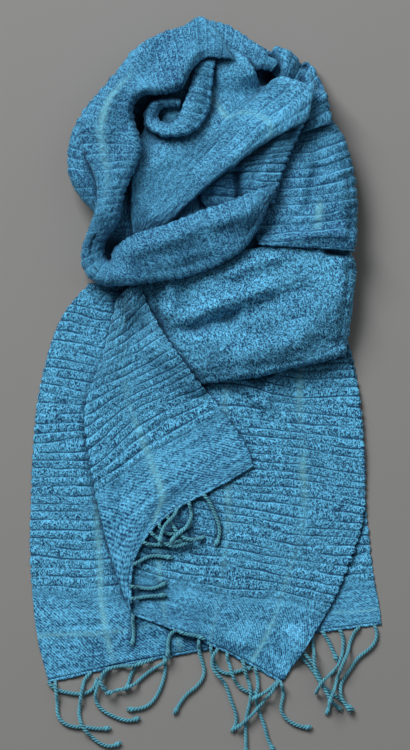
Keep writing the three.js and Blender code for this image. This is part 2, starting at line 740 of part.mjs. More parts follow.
// ---------------------------------------------------------------- fringe
// The knotted strip along a hem, made from the points of the cloth's last section, moved out.
function hemStrip(cloth) {
  const isPlain = (_, j) => cloth.plain[j];
  const [before, hem] = cloth.middle.slice(-2).map((row) => row.filter(isPlain));
  const normals = cloth.facing[cloth.facing.length - 1].filter(isPlain);
  const last = hem.length - 1;
  const middle = [SEAM_GAP, SEAM_GAP + STRIP].map((distance) =>
    hem.map((p, j) => {
      const across = subtract(hem[Math.min(j + 1, last)], hem[Math.max(j - 1, 0)]);
      const square = unit(cross(across, normals[j]));
      const along = subtract(p, before[j]);
      const turn = square[0] * along[0] + square[1] * along[1] + square[2] * along[2] < 0 ? -1 : 1;
      return p.map((v, k) => v + turn * square[k] * distance);
    }),
  );
  const facing = [normals, normals];
  const outer = moved(middle, facing, CLOTH / 2);
  const inner = moved(middle, facing, -CLOTH / 2).map((row) => row.map(settled));
  return { middle, ...closedWall(outer, inner, 1) };
}

// The plan of a strand, from its root on the strip: three arcs, one after the other.
function strandPlan(root, { length, heading, turn1, turn2, turn3 }) {
  const turns = [turn1, turn2, turn3];
  const step = length / STRAND_STEPS;
  const plan = [root];
  let direction = radians(heading);
  for (let i = 0; i < STRAND_STEPS; i++) {
    const third = Math.min(2, Math.floor((3 * i) / STRAND_STEPS));
    const turn = radians((turns[third] * 3) / STRAND_STEPS);
    direction += turn / 2;
    const [x, y] = plan[plan.length - 1];
    plan.push([x + step * Math.cos(direction), y + step * Math.sin(direction)]);
    direction += turn / 2;
  }
  return plan;
}

// The centre line of a strand: smooth in plan, and straight in height from point to point.
class StrandPath extends THREE.Curve {
  constructor(centres) {
    super();
    this.heights = centres.map((p) => p.z);
    this.smooth = new THREE.CatmullRomCurve3(centres);
  }

  getPoint(t, target = new THREE.Vector3()) {
    this.smooth.getPoint(t, target);
    const at = t * (this.heights.length - 1);
    const i = Math.min(Math.floor(at), this.heights.length - 2);
    target.z = lerp(this.heights[i], this.heights[i + 1], at - i);
    return target;
  }
}

// A strand laid along its plan on top of the heap so far, as the mesh of a four-sided tube.
function layStrand(strip, strand) {
  const edge = strip.middle.map((row) => new THREE.CatmullRomCurve3(
    row.map((p) => new THREE.Vector3(...p)),
  ).getPoint(strand.share));
  const root = edge[0].clone().lerp(edge[1], 0.5);
  const plan = strandPlan([root.x, root.y], strand);
  const below = spreadOut(heights, 1);
  const overSegment = plan.slice(1).map(([x, y], i) => {
    const [fromX, fromY] = plan[i];
    const found = [0, 0.2, 0.4, 0.6, 0.8, 1].map(
      (t) => below[cellOf(lerp(fromX, x, t), lerp(fromY, y, t))],
    );
    return Math.max(...found);
  });
  const centres = plan.map(([x, y], i) => {
    if (i === 0) return new THREE.Vector3(x, y, root.z + (STRAND - CLOTH) / 2);
    const under = Math.max(overSegment[i - 1], overSegment[Math.min(i, STRAND_STEPS - 1)]);
    return new THREE.Vector3(x, y, under + LAYER_GAP + STRAND / 2);
  });
  const radius = STRAND / 2;
  const corner = new THREE.Shape(
    Array.from({ length: STRAND_SIDES }, (_, k) => {
      const angle = ((k + 0.5) * 2 * Math.PI) / STRAND_SIDES;
      return new THREE.Vector2(radius * Math.cos(angle), radius * Math.sin(angle));
    }),
  );
  return new THREE.ExtrudeGeometry(corner, {
    steps: STRAND_STEPS,
    extrudePath: new StrandPath(centres),
    bevelEnabled: false,
  });
}

// ---------------------------------------------------------------- solids
const wasm = await Module();
wasm.setup();

// A three.js geometry from a list of points and a list of faces.
function geometryOf({ points, faces }) {
  const geometry = new THREE.BufferGeometry();
  geometry.setAttribute("position", new THREE.Float32BufferAttribute(points.flat(), 3));
  geometry.setIndex(faces.flat());
  return geometry;
}

// A closed geometry as a solid that can be joined and cut.
function solidOf(geometry) {
  const bare = geometry.clone();
  bare.deleteAttribute("normal");
  bare.deleteAttribute("uv");
  const merged = mergeVertices(bare, 1e-4);
  return new wasm.Manifold(
    new wasm.Mesh({
      numProp: 3,
      vertProperties: merged.attributes.position.array,
      triVerts: new Uint32Array(merged.index.array),
    }),
  );
}

// The points and faces of a solid.
function meshOf(solid) {
  const { vertProperties, triVerts } = solid.getMesh();
  const inThrees = (list) =>
    Array.from({ length: list.length / 3 }, (_, i) => [...list.slice(3 * i, 3 * i + 3)]);
  return { points: inThrees(vertProperties), faces: inThrees(triVerts) };
}

// Solids joined into one body, with any pocket of air sealed inside it filled in.
function joined(solids) {
  const bodies = solids.reduce((all, next) => all.add(next)).decompose();
  return bodies.reduce((most, next) => (next.volume() > most.volume() ? next : most));
}

// A hem's fringe: its strip with every strand fused to it at the root.
function layFringe(cloth, strands) {
  const strip = hemStrip(cloth);
  const solids = [solidOf(geometryOf(strip))];
  for (const strand of strands) {
    const tube = solidOf(layStrand(strip, strand));
    solids.push(tube);
    record(meshOf(tube));
  }
  record(strip);
  return meshOf(joined(solids));
}

// The inside of the heap: its layers joined into one solid.
function layHeap() {
  const mesh = meshOf(joined(HEAP_LAYERS.map((layer) => solidOf(geometryOf(heapLayer(layer))))));
  record(mesh);
  return mesh;
}

// ---------------------------------------------------------------- the scarf, from the bottom up
const scarf = new THREE.Group();

function add(name, colour, mesh) {
  const material = new THREE.MeshStandardMaterial({ color: colour, roughness: 0.85, metalness: 0 });
  const made = new THREE.Mesh(geometryOf(mesh), material);
  made.name = name;
  scarf.add(made);
}

const underTail = lay({ rows: UNDER_TAIL, across: 6, folds: UNDER_TAIL_FOLDS, ribs: true, ribbedTo: 0.86 });
add("under_tail", SILK.light, underTail);
add("hidden_layers", SILK.deep, layHeap());
add("under_fringe", SILK.thread, layFringe(underTail, UNDER_STRANDS));
const overTail = lay({
  rows: OVER_TAIL,
  across: 6,
  folds: OVER_TAIL_FOLDS,
  curls: { right: 2.5 },
  ribs: true,
  ribbedTo: 0.82,
});
add("over_tail", SILK.light, overTail);
add("over_fringe", SILK.thread, layFringe(overTail, OVER_STRANDS));
add("lower_band", SILK.mid, lay({
  rows: LOWER_BAND,
  across: 8,
  folds: LOWER_BAND_FOLDS,
  curls: { right: 9, end: 7 },
}));
const turnedEnd = lay({
  rows: TURNED_END,
  across: 6,
  folds: TURNED_END_FOLDS,
  curls: { left: 5 },
  skew: 0.6,
  ribs: true,
  ribbedTo: 0.8,
});
add("turned_end", SILK.light, turnedEnd);
add("turned_fringe", SILK.thread, layFringe(turnedEnd, TURNED_STRANDS));
add("right_panel", SILK.mid, lay({
  rows: RIGHT_PANEL,
  across: 6,
  folds: RIGHT_PANEL_FOLDS,
  curls: { left: 3, right: 8, end: 4 },
  ribs: true,
}));
add("top_ruffle", SILK.mid, lay({
  rows: TOP_RUFFLE,
  across: 5,
  folds: TOP_RUFFLE_FOLDS,
  curls: { start: 3, left: 5 },
}));
add("top_strip", SILK.mid, lay({ rows: TOP_STRIP, across: 4, curls: { left: 6 } }));
add("outer_turn", SILK.mid, lay({ rows: OUTER_TURN, across: 4, curls: { left: 10, end: 3 } }));
add(
  "inner_fold",
  SILK.deep,
  lay({ rows: INNER_FOLD, across: 5, curls: { left: 3, right: 4 }, folds: INNER_FOLD_FOLDS }),
);
add("cross_band", SILK.light, lay({
  rows: CROSS_BAND,
  across: 8,
  folds: CROSS_BAND_FOLDS,
  bridge: 10,
  curls: { start: 5, end: 9, right: 5 },
  ribs: true,
}));
add("eye_coil", SILK.mid, lay({ rows: COIL, across: 3, curls: { start: 2, left: 4 } }));
add("collar", SILK.light, lay({
  rows: COLLAR,
  across: 5,
  folds: COLLAR_FOLDS,
  bridge: 12,
  curls: { start: 1.5, left: 11, right: 8, end: 4 },
}));

// The frame: the middle of the scarf's footprint, at the height of the surface it lies on.
const reach = new THREE.Box3().setFromObject(scarf);
const middle = reach.getCenter(new THREE.Vector3());
scarf.position.set(-middle.x, -middle.y, -reach.min.z);

export default scarf;
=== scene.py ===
"""A narrow crinkled silk scarf, dropped on a flat surface.

The middle of the scarf is wound into a loose heap, and both of its ends lie below the heap, one
spread flat and the other folded over on top of it. Every stretch of cloth that shows is a thin
shell, lofted through the sections of a short table and laid on whatever is already below it.

The tables are in millimetres on the surface, +X across the spread end and +Y towards the heap.
"""

from __future__ import annotations

import logging
import math
from dataclasses import dataclass, field
from enum import Enum
from typing import Callable, Iterator, NamedTuple, Sequence

import bpy
import numpy as np
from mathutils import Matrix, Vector

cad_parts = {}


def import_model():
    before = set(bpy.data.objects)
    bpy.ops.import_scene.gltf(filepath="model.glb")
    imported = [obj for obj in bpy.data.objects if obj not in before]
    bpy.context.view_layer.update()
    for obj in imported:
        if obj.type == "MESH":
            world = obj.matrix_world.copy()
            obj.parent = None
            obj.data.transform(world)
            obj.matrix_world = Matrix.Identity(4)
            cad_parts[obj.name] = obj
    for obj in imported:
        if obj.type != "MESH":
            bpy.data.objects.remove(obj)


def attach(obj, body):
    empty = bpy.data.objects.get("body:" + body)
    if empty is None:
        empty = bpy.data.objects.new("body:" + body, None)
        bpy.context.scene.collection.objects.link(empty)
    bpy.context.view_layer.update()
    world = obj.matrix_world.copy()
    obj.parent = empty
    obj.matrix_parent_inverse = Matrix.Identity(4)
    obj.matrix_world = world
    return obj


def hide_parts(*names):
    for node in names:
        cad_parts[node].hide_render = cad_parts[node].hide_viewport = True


log = logging.getLogger("scarf")

MM = 0.001
FOOTPRINT_CENTRE = (0.70, -11.79)  # where the part's origin lies in the tables, in mm

CLOTH = 1.1  # thickness of the crinkled cloth
LAYER_GAP = 0.5  # air between one layer and the next
RIB_PITCH = 8.6  # crinkle ribs, groove to groove
RIB_HEIGHT = 2.4
PUCKER_HEIGHT = 0.6
SCALLOP = 1.3  # how far the ribs push a cut edge in and out
SCALLOP_REACH = 9
STRIPE_WIDTH = 3.0  # half the width of a pale stripe
CROSS_STRIPE_WIDTH = 1.6
GRID_STEP = 1.5  # spacing of a shell's points
EDGE_HANG = 16  # how far a turned edge may hang down to what is below it
EDGE_REACH = 4  # how far around a turned edge what is below it counts
CURL_STEP_DEGREES = 15
CURL_END_DEGREES = 150
MOST_CURL = 0.42  # the most of a stretch's width that one edge turns over
CELL = 2.0  # grid of the height map that records the heap
HALF_WIDTH = 230  # half the size of that map, across and along
HALF_LENGTH = 430
FLAT_BELOW = 0.5  # cloth nearer to the surface than this rests flat on it
SETTLE_ROUNDS = 30  # how often a stretch is lifted, at most, until it clears what is below
SETTLED = 0.02  # by how much it may still fall short then
STRAND = 3.8  # diameter of a twisted fringe strand
STRAND_STEP = 0.9
TWIST_PITCH = 6.6
PLY_SIDES = 8
KNOT_FROM_TIP = 5
KNOT_LENGTH = 1.9
FRAY_LENGTH = 3.2
STRIP = 3.5  # width of the knotted strip that the strands hang from


class Held(Enum):
    """How a stretch of cloth is held."""

    LAID = "laid"
    FOLDED = "folded"
    GATHERED = "gathered"


class Section(NamedTuple):
    """One cut across a stretch, from its left point to its right point."""

    left_x: float
    left_y: float
    right_x: float
    right_y: float
    left_rise: float
    crown: float
    right_rise: float
    bow: float


class Fold(NamedTuple):
    """A soft ridge in the cloth, or a trough where its rise is below zero."""

    from_x: float
    from_y: float
    to_x: float
    to_y: float
    width: float
    rise: float


class Layer(NamedTuple):
    """One cut across the hidden layers, with their height there."""

    left_x: float
    left_y: float
    right_x: float
    right_y: float
    height: float


class Hollow(NamedTuple):
    """A round hollow in the hidden layers."""

    x: float
    y: float
    reach: float
    depth: float


class Strand(NamedTuple):
    """One fringe strand: a share of its hem, a length, a heading and three turns in degrees."""

    share: float
    length: float
    heading: float
    turn_1: float
    turn_2: float
    turn_3: float


class Ripple(NamedTuple):
    """Smooth unevenness: its reach along and across the cloth, its size and its own seed."""

    along: float
    across: float
    size: float
    seed: int


RIB_WANDER = (Ripple(55, 60, 6, 0), Ripple(15, 45, 2.2, 1), Ripple(9, 13, 0.7, 1))
RIB_HEIGHTS = (Ripple(9, 26, 0.5, 5), Ripple(60, 50, 0.3, 9))
PUCKERS = (Ripple(2.6, 3.4, 1, 6), Ripple(5.3, 4.1, 0.45, 7))
SWELLS = (Ripple(34, 27, 0.9, 8),)
HEM_EDGE = (Ripple(60, 45, 8, 2),)
STRIPE_SWAY = (Ripple(30, 99, 1.5, 3),)
STRIPE_PATCHES = (Ripple(45, 30, 0.45, 4), Ripple(9, 9, 0.25, 4))
RAGGED_EDGE = (Ripple(2.5, 1, 0.35, 10),)


# ------------------------------------------------------------------------------ numbers


def smooth_step(low: float, high: float, value: np.ndarray) -> np.ndarray:
    """Returns a soft step from 0 at low to 1 at high.

    Args:
        low: where the step starts.
        high: where the step ends.
        value: the values to step.

    Returns:
        The stepped values, from 0 to 1.
    """
    t = np.clip((value - low) / (high - low), 0, 1)
    return t * t * (3 - 2 * t)


def soft_noise(x: np.ndarray, y: np.ndarray, seed: int) -> np.ndarray:
    """Returns smooth random values from -1 to 1 with features one unit apart.

    Args:
        x: first coordinates.
        y: second coordinates, of the same shape.
        seed: picks the pattern.

    Returns:
        The noise, in the shape of x.
    """
    lattice = np.random.default_rng(seed).uniform(-1, 1, (256, 256))
    fx, fy = np.floor(x), np.floor(y)
    tx, ty = x - fx, y - fy
    tx, ty = tx * tx * (3 - 2 * tx), ty * ty * (3 - 2 * ty)
    i, j = fx.astype(int) % 256, fy.astype(int) % 256
    k, m = (i + 1) % 256, (j + 1) % 256
    low = lattice[i, j] * (1 - tx) + lattice[k, j] * tx
    high = lattice[i, m] * (1 - tx) + lattice[k, m] * tx
    return low * (1 - ty) + high * ty


def rippled(
    ripples: Sequence[Ripple], along: np.ndarray, across: np.ndarray, seed: int
) -> np.ndarray:
    """Adds up smooth unevenness over the cloth.

    Args:
        ripples: what is added up.
        along: distances along the cloth in mm.
        across: distances across it in mm.
        seed: the stretch's seed, which each ripple adds its own to.

    Returns:
        The sum at each point.
    """
    return sum(
        r.size * soft_noise(along / r.along, across / r.across, seed + r.seed) for r in ripples
    )


def spline(rows: Sequence[NamedTuple], share: np.ndarray) -> np.ndarray:
    """Runs a Catmull-Rom spline through every column of a table.

    Args:
        rows: the rows of the table.
        share: shares of the table's length, from 0 to 1.

    Returns:
        An array with the shape of share and one more axis for the columns.
    """
    data = np.array(rows, dtype=float)
    at = np.clip(share, 0, 1) * (len(data) - 1)
    i = np.minimum(at.astype(int), len(data) - 2)
    t = (at - i)[..., None]
    a, b, c, d = (data[np.clip(i + k, 0, len(data) - 1)] for k in (-1, 0, 1, 2))
    return b + 0.5 * t * (c - a + t * (2 * a - 5 * b + 4 * c - d + t * (3 * (b - c) + d - a)))


def unit(vectors: np.ndarray) -> np.ndarray:
    """Returns vectors scaled to a length of one.

    Args:
        vectors: vectors along the last axis.

    Returns:
        The unit vectors.
    """
    return vectors / np.maximum(np.linalg.norm(vectors, axis=-1, keepdims=True), 1e-9)


def grid_normals(grid: np.ndarray) -> np.ndarray:
    """Returns the unit normals of a grid of points, from each point's neighbours.

    Args:
        grid: points in rows and columns.

    Returns:
        A normal for each point.
    """
    along = np.gradient(grid, axis=0)
    across = np.gradient(grid, axis=1)
    return unit(np.cross(across, along))


def between(grid: np.ndarray) -> Iterator[np.ndarray]:
    """Goes through a grid's points and the points halfway between them.

    Args:
        grid: points in rows and columns.

    Yields:
        Four grids, each one row and one column smaller.
    """
    for a in (0, 0.5):
        rows = grid[:-1] * (1 - a) + grid[1:] * a
        for b in (0, 0.5):
            yield rows[:, :-1] * (1 - b) + rows[:, 1:] * b


def slide(values: np.ndarray, reach: int, axis: int, combine: Callable) -> np.ndarray:
    """Combines each value with its neighbours along one axis.

    Args:
        values: the values.
        reach: how many neighbours to each side count.
        axis: the axis to slide along.
        combine: how the shifted values are combined.

    Returns:
        The combined values, in the same shape.
    """
    padding = [(reach, reach) if a == axis else (0, 0) for a in range(values.ndim)]
    padded = np.pad(values, padding, mode="edge")
    length = values.shape[axis]
    shifted = [np.take(padded, range(k, k + length), axis) for k in range(2 * reach + 1)]
    return combine(shifted, axis=0)


# ------------------------------------------------------------------------------ the heap


@dataclass
class Heap:
    """A height map of everything laid so far."""

    heights: np.ndarray = field(
        default_factory=lambda: np.zeros(
            (int(2 * HALF_LENGTH / CELL), int(2 * HALF_WIDTH / CELL))
        )
    )

    @staticmethod
    def spread_out(values: np.ndarray, reach: int) -> np.ndarray:
        """Returns each cell's highest neighbour within a reach.

        Args:
            values: the map.
            reach: the reach in cells.

        Returns:
            The spread map.
        """
        return slide(slide(values, reach, 0, np.max), reach, 1, np.max)

    @staticmethod
    def blurred(values: np.ndarray, reach: int) -> np.ndarray:
        """Returns each cell's mean over a reach.

        Args:
            values: the map.
            reach: the reach in cells.

        Returns:
            The blurred map.
        """
        return slide(slide(values, reach, 0, np.mean), reach, 1, np.mean)

    @staticmethod
    def cells(x: np.ndarray, y: np.ndarray) -> tuple[np.ndarray, np.ndarray]:
        """Returns the rows and columns of the cells at plan points.

        Args:
            x: plan coordinates in mm.
            y: the same for the other axis.

        Returns:
            The row and the column of each point's cell.
        """
        row = np.clip((y + HALF_LENGTH) / CELL, 0, 2 * HALF_LENGTH / CELL - 1).astype(int)
        column = np.clip((x + HALF_WIDTH) / CELL, 0, 2 * HALF_WIDTH / CELL - 1).astype(int)
        return row, column

    def soft(self, bridge: float) -> np.ndarray:
        """Returns the heights as cloth bridges over them.

        Args:
            bridge: how far the cloth spans past a step below it, in mm.

        Returns:
            The softened height map.
        """
        reach = round(bridge / CELL)
        return self.blurred(self.spread_out(self.heights, reach), max(2, reach - 1))

    @staticmethod
    def sampled(values: np.ndarray, x: np.ndarray, y: np.ndarray) -> np.ndarray:
        """Returns a height map's values at plan points, blended between its cells.

        Args:
            values: the map.
            x: plan coordinates in mm.
            y: the same for the other axis.

        Returns:
            A value for each point.
        """
        row = np.clip((y + HALF_LENGTH) / CELL - 0.5, 0, values.shape[0] - 1.001)
        column = np.clip((x + HALF_WIDTH) / CELL - 0.5, 0, values.shape[1] - 1.001)
        i, k = row.astype(int), column.astype(int)
        up, over = row - i, column - k
        low = values[i, k] * (1 - over) + values[i, k + 1] * over
        high = values[i + 1, k] * (1 - over) + values[i + 1, k + 1] * over
        return low * (1 - up) + high * up

    def record(self, grid: np.ndarray) -> None:
        """Adds a grid of points to the map.

        Args:
            grid: points in rows and columns, closer together than twice the map's cells.
        """
        for points in (*between(grid), grid):
            where = self.cells(points[..., 0], points[..., 1])
            np.maximum.at(self.heights, where, points[..., 2])


# ------------------------------------------------------------------------------ shells


def new_mesh(
    name: str,
    points: np.ndarray,
    faces: np.ndarray,
    cloth_map: np.ndarray | None = None,
    masks: dict[str, np.ndarray | float] | None = None,
) -> bpy.types.Object:
    """Makes a mesh object from points in mm in the tables' frame.

    Args:
        name: the object's name.
        points: its points.
        faces: its faces, as rows of point numbers.
        cloth_map: a cloth coordinate for each point, in metres.
        masks: a value for each point, or one for all of them, by the name of its mask.

    Returns:
        The new object, linked into the scene.
    """
    places = (points - [*FOOTPRINT_CENTRE, 0]) * MM
    places[:, 2] = np.maximum(places[:, 2], 0)
    mesh = bpy.data.meshes.new(name)
    mesh.from_pydata(places.tolist(), [], faces.tolist())
    if cloth_map is not None:
        layer = mesh.uv_layers.new(name="cloth")
        corner = np.empty(len(mesh.loops), dtype=np.int32)
        mesh.loops.foreach_get("vertex_index", corner)
        layer.data.foreach_set("uv", cloth_map[corner].astype(np.float32).ravel())
    for mask, values in (masks or {}).items():
        mesh.attributes.new(mask, "FLOAT", "POINT").data.foreach_set(
            "value", np.full(len(points), values, dtype=np.float32)
        )
    mesh.polygons.foreach_set("use_smooth", [True] * len(mesh.polygons))
    mesh.update()
    made = bpy.data.objects.new(name, mesh)
    bpy.context.scene.collection.objects.link(made)
    return made


def dress(made: bpy.types.Object, node: str, slot: str, *materials: bpy.types.Material) -> None:
    """Gives a piece its materials, hangs it from the root body and hides the node of the part that
    it stands for.

    Args:
        made: the piece.
        node: the node.
        slot: the kind of material that it is made of; not used.
        materials: its materials.
    """
    for material in materials:
        made.data.materials.append(material)
    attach(made, "root")
    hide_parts(node)


def wall_faces(grid: np.ndarray) -> np.ndarray:
    """Returns the faces of a closed wall between an outer grid of points and an inner one.

    Args:
        grid: the wall's points in rows and columns, which tell it which way to face.

    Returns:
        Faces of four points that face out of the wall, numbered through its outer points and then
        its inner ones.
    """
    rows, columns = grid.shape[:2]
    outer = np.arange(rows * columns).reshape(rows, columns)
    inner = outer + rows * columns
    top = np.stack([outer[:-1, :-1], outer[:-1, 1:], outer[1:, 1:], outer[1:, :-1]], -1)
    under = np.stack([inner[:-1, :-1], inner[1:, :-1], inner[1:, 1:], inner[:-1, 1:]], -1)
    rims = []
    for a, b in ((outer[0], inner[0]), (outer[-1][::-1], inner[-1][::-1])):
        rims.append(np.stack([a[1:], a[:-1], b[:-1], b[1:]], -1))
    for a, b in ((outer[::-1, 0], inner[::-1, 0]), (outer[:, -1], inner[:, -1])):
        rims.append(np.stack([a[1:], a[:-1], b[:-1], b[1:]], -1))
    faces = np.concatenate([top.reshape(-1, 4), under.reshape(-1, 4), *rims])
    normals = np.cross(np.gradient(grid, axis=1), np.gradient(grid, axis=0))
    return faces if normals[..., 2].sum() > 0 else faces[:, ::-1]


@dataclass
class Stations:
    """The rows or columns of a shell: plain ones, and those of its curled edges."""

    side: np.ndarray  # -1 or 1 on a curled edge
    base: np.ndarray  # the plain station that each one hangs from
    angle: np.ndarray  # how far a curled one has turned, in radians
    share: np.ndarray  # place of its plain station, from 0 to 1

    @classmethod
    def spaced(cls, count: int, starts_folded: bool, ends_folded: bool) -> Stations:
        """Makes count plain spans and the stations of the folded edges.

        Args:
            count: how many spans the plain part has.
            starts_folded: whether the first edge turns under.
            ends_folded: whether the last edge turns under.

        Returns:
            The stations, in order.
        """
        turns = np.radians(np.arange(CURL_STEP_DEGREES, CURL_END_DEGREES + 1, CURL_STEP_DEGREES))
        none = np.zeros(0)
        first = turns[::-1] if starts_folded else none
        last = turns if ends_folded else none
        base = np.concatenate([first * 0, np.arange(count + 1), last * 0 + count]).astype(int)
        side = np.concatenate([first * 0 - 1, np.zeros(count + 1), last * 0 + 1])
        angle = np.concatenate([first, np.zeros(count + 1), last])
        return cls(side, base, angle, base / count)

    def places(self, start_curl: np.ndarray, end_curl: np.ndarray) -> np.ndarray:
        """Returns where the stations lie, as shares of a length.

        Args:
            start_curl: share of the length that the first edge turns over.
            end_curl: the same for the last edge.

        Returns:
            The shares, with the curls' shape and one more axis for the stations.
        """
        start, end = np.asarray(start_curl)[..., None], np.asarray(end_curl)[..., None]
        inward = 1 - np.sin(self.angle)
        plain = start + (1 - end - start) * self.share
        curled = np.where(self.side < 0, start * inward, 1 - end * inward)
        return np.where(self.side == 0, plain, curled)

    def level(self) -> np.ndarray:
        """Returns the share of the cloth's rise that each station keeps.

        Returns:
            A share for each station, from 1 on the plain part to 0 under a fold.
        """
        return (1 + np.cos(self.angle)) / 2


@dataclass(frozen=True)
class Curls:
    """How far each edge of a stretch turns under, in mm: nothing at a cut edge."""

    left: float = 0
    right: float = 0
    start: float = 0
    end: float = 0


@dataclass
class Shell:
    """A finished shell: its middle surface, the way it faces and which columns are plain."""

    middle: np.ndarray
    facing: np.ndarray
    plain: np.ndarray


@dataclass(frozen=True)
class Stretch:
    """A stretch of the scarf's cloth that shows in the heap."""

    name: str
    sections: tuple[Section, ...]
    seed: int
    folds: tuple[Fold, ...] = ()
    curls: Curls = Curls()
    skew: float = 0
    step: float = GRID_STEP
    ribs: float = 1  # how strongly its ribs stand up, and how strongly their painted shade and highlight show
    ribs_from: float = 0  # share of its length where they begin
    ribs_from_left: float = 0  # share of its width where they begin
    grain: float = 1  # how strongly its yarns speckle
    tone: float = 0.53  # from the deep colour at 0 to the light one at 1; set lower on the stretches up in the heap, as painted shade
    puckers: float = 1
    hem: float = 0  # length of plain weave at its end
    stripes: tuple[float, ...] = ()  # pale stripes, as shares of its width
    striped: tuple[float, float] = (-1, 2)  # where the stripes show, as shares of its length
    cross_stripe: float = 0  # distance of a pale line from the hem
    bridge: float = 6  # how far it spans past a step below it
    held: Held = Held.LAID
    rests_on: tuple[str, ...] = ()

    def _plan(self, columns: np.ndarray, share: np.ndarray) -> tuple[np.ndarray, np.ndarray]:
        """Places points on the cuts across the stretch, seen from above.

        Args:
            columns: a section's eight columns for each point.
            share: each point's share of the width, from the left.

        Returns:
            The plan coordinates x and y.
        """
        lx, ly, rx, ry, *_, bow = (columns[..., k] for k in range(8))
        dx, dy = rx - lx, ry - ly
        lean = 1 + self.skew * (1 - 2 * share)
        out = bow * 4 * share * (1 - share) * lean / np.hypot(dx, dy)
        return lx + dx * share - dy * out, ly + dy * share + dx * out

    def _fold_rise(self, x: np.ndarray, y: np.ndarray) -> np.ndarray:
        """Returns how far the folds lift the cloth, or lower it.

        Args:
            x: plan coordinates in mm.
            y: the same for the other axis.

        Returns:
            The rise at each point, in mm.
        """
        rise = np.zeros_like(x)
        for f in self.folds:
            dx, dy = f.to_x - f.from_x, f.to_y - f.from_y
            t = np.clip(((x - f.from_x) * dx + (y - f.from_y) * dy) / (dx * dx + dy * dy), 0, 1)
            off = np.hypot(x - f.from_x - dx * t, y - f.from_y - dy * t) / f.width
            rise += f.rise * np.exp(-off * off)
        return rise

    def _even_rows(self) -> tuple[float, Callable[[np.ndarray], np.ndarray]]:
        """Measures the stretch along its middle.

        Returns:
            Its length, and the share of its table at a distance along it.
        """
        share = np.linspace(0, 1, 400)
        x, y = self._plan(spline(self.sections, share), np.full(400, 0.5))
        along = np.concatenate([[0], np.cumsum(np.hypot(np.diff(x), np.diff(y)))])
        return along[-1], lambda distance: np.interp(distance, along, share)

    def lay(self, heap: Heap, materials: Materials) -> Shell:
        """Lays the stretch on the heap so far and adds it to the heap.

        Args:
            heap: the height map of everything below.
            materials: the scarf's finishes.

        Returns:
            The finished shell.
        """
        length, share_at = self._even_rows()
        widths = spline(self.sections, np.linspace(0, 1, 60))
        widths = np.hypot(widths[:, 2] - widths[:, 0], widths[:, 3] - widths[:, 1])
        width = float(widths.mean())
        curls = self.curls
        rows = Stations.spaced(round(length / self.step), curls.start > 0, curls.end > 0)
        columns = Stations.spaced(round(widths.max() / self.step), curls.left > 0, curls.right > 0)

        row_share = rows.places(curls.start / length, curls.end / length)
        flat_share = np.where(rows.side < 0, curls.start / length, row_share)
        flat_share = np.where(rows.side > 0, 1 - curls.end / length, flat_share)

        section = spline(self.sections, share_at(row_share * length))
        x, y, _, at = self._placed(section, columns, True)
        section = spline(self.sections, share_at(flat_share * length))
        plain_x, plain_y, section, plain_at = self._placed(section, columns, False)
        arch = section[..., 4] * (1 - plain_at) + section[..., 6] * plain_at
        arch = arch + section[..., 5] * 4 * plain_at * (1 - plain_at)
        rise = np.maximum(arch + self._fold_rise(plain_x, plain_y), 0)
        level = rows.level()[:, None] * columns.level()[None, :]
        flat = np.stack([x, y, rise * level], -1)

        base = rows.base[:, None] * (columns.base.max() + 1) + columns.base[None, :]
        shape = (rows.base.max() + 1, columns.base.max() + 1)
        lifts = np.zeros(shape)
        is_plain = (rows.side == 0)[:, None] & (columns.side == 0)[None, :]
        lifts.ravel()[base[is_plain]] = heap.sampled(heap.soft(self.bridge), x, y)[is_plain]

        cloth = self._cloth_coordinates(row_share, at, length, width)
        crinkle, stripe = self._masks(cloth, length, width)
        ribs = self.ribs * crinkle * self._rib_fade(row_share[:, None], at)
        bumps = self._bumps(cloth, crinkle, ribs)
        self._scallop(flat, cloth, ribs)
        below = heap.spread_out(heap.heights, 1)
        turned = np.maximum(rows.angle[:, None], columns.angle[None, :])
        ground = heap.sampled(heap.soft(EDGE_REACH), x, y) + LAYER_GAP + CLOTH
        hang = (1 - np.cos(turned)) / 2 * np.clip(lifts.ravel()[base] - ground, 0, EDGE_HANG)
        flat[..., 2] += CLOTH / 2 - hang

        for _ in range(SETTLE_ROUNDS):
            laid = flat.copy()
            laid[..., 2] += lifts.ravel()[base]
            skin, facing, outer, inner = self._wall(laid, bumps)
            raised = self._shortfall((outer, inner), below, base, shape)
            if raised.max() < SETTLED:
                break
            eased = heap.blurred(heap.spread_out(raised, 3), 3)
            lifts += np.maximum(raised, eased)
        heap.record(outer)
        heap.record(inner)

        points = np.concatenate([outer.reshape(-1, 3), inner.reshape(-1, 3)])
        both_sides = (("crinkle", crinkle), ("ribs", ribs), ("stripe", stripe))
        masks = {name: np.tile(values.ravel(), 2) for name, values in both_sides}
        masks.update(grain=self.grain, tone=self.tone)
        cloth_map = np.tile(cloth.reshape(-1, 2) * MM, (2, 1))
        made = new_mesh(self.name + "_cloth", points, wall_faces(skin), cloth_map, masks)
        dress(made, self.name, "silk_cloth", materials.cloth)
        log.info("%s: %d points, top %.1f mm", self.name, len(points), outer[..., 2].max())
        return Shell(skin, facing, columns.side == 0)

    def _placed(
        self, section: np.ndarray, columns: Stations, turned: bool
    ) -> tuple[np.ndarray, ...]:
        """Places the grid's points, seen from above.

        Args:
            section: the section at each row.
            columns: the grid's columns.
            turned: whether the side edges turn under.

        Returns:
            The coordinates x and y, and the section and the share of the width at each point.
        """
        across = np.hypot(section[:, 2] - section[:, 0], section[:, 3] - section[:, 1])
        curls = (self.curls.left, self.curls.right)
        left, right = (np.minimum(c / across, MOST_CURL) for c in curls)
        at = columns.places(left, right)
        if not turned:
            at = np.clip(at, left[:, None], 1 - right[:, None])
        wide = np.repeat(section[:, None, :], at.shape[1], axis=1)
        return (*self._plan(wide, at), wide, at)

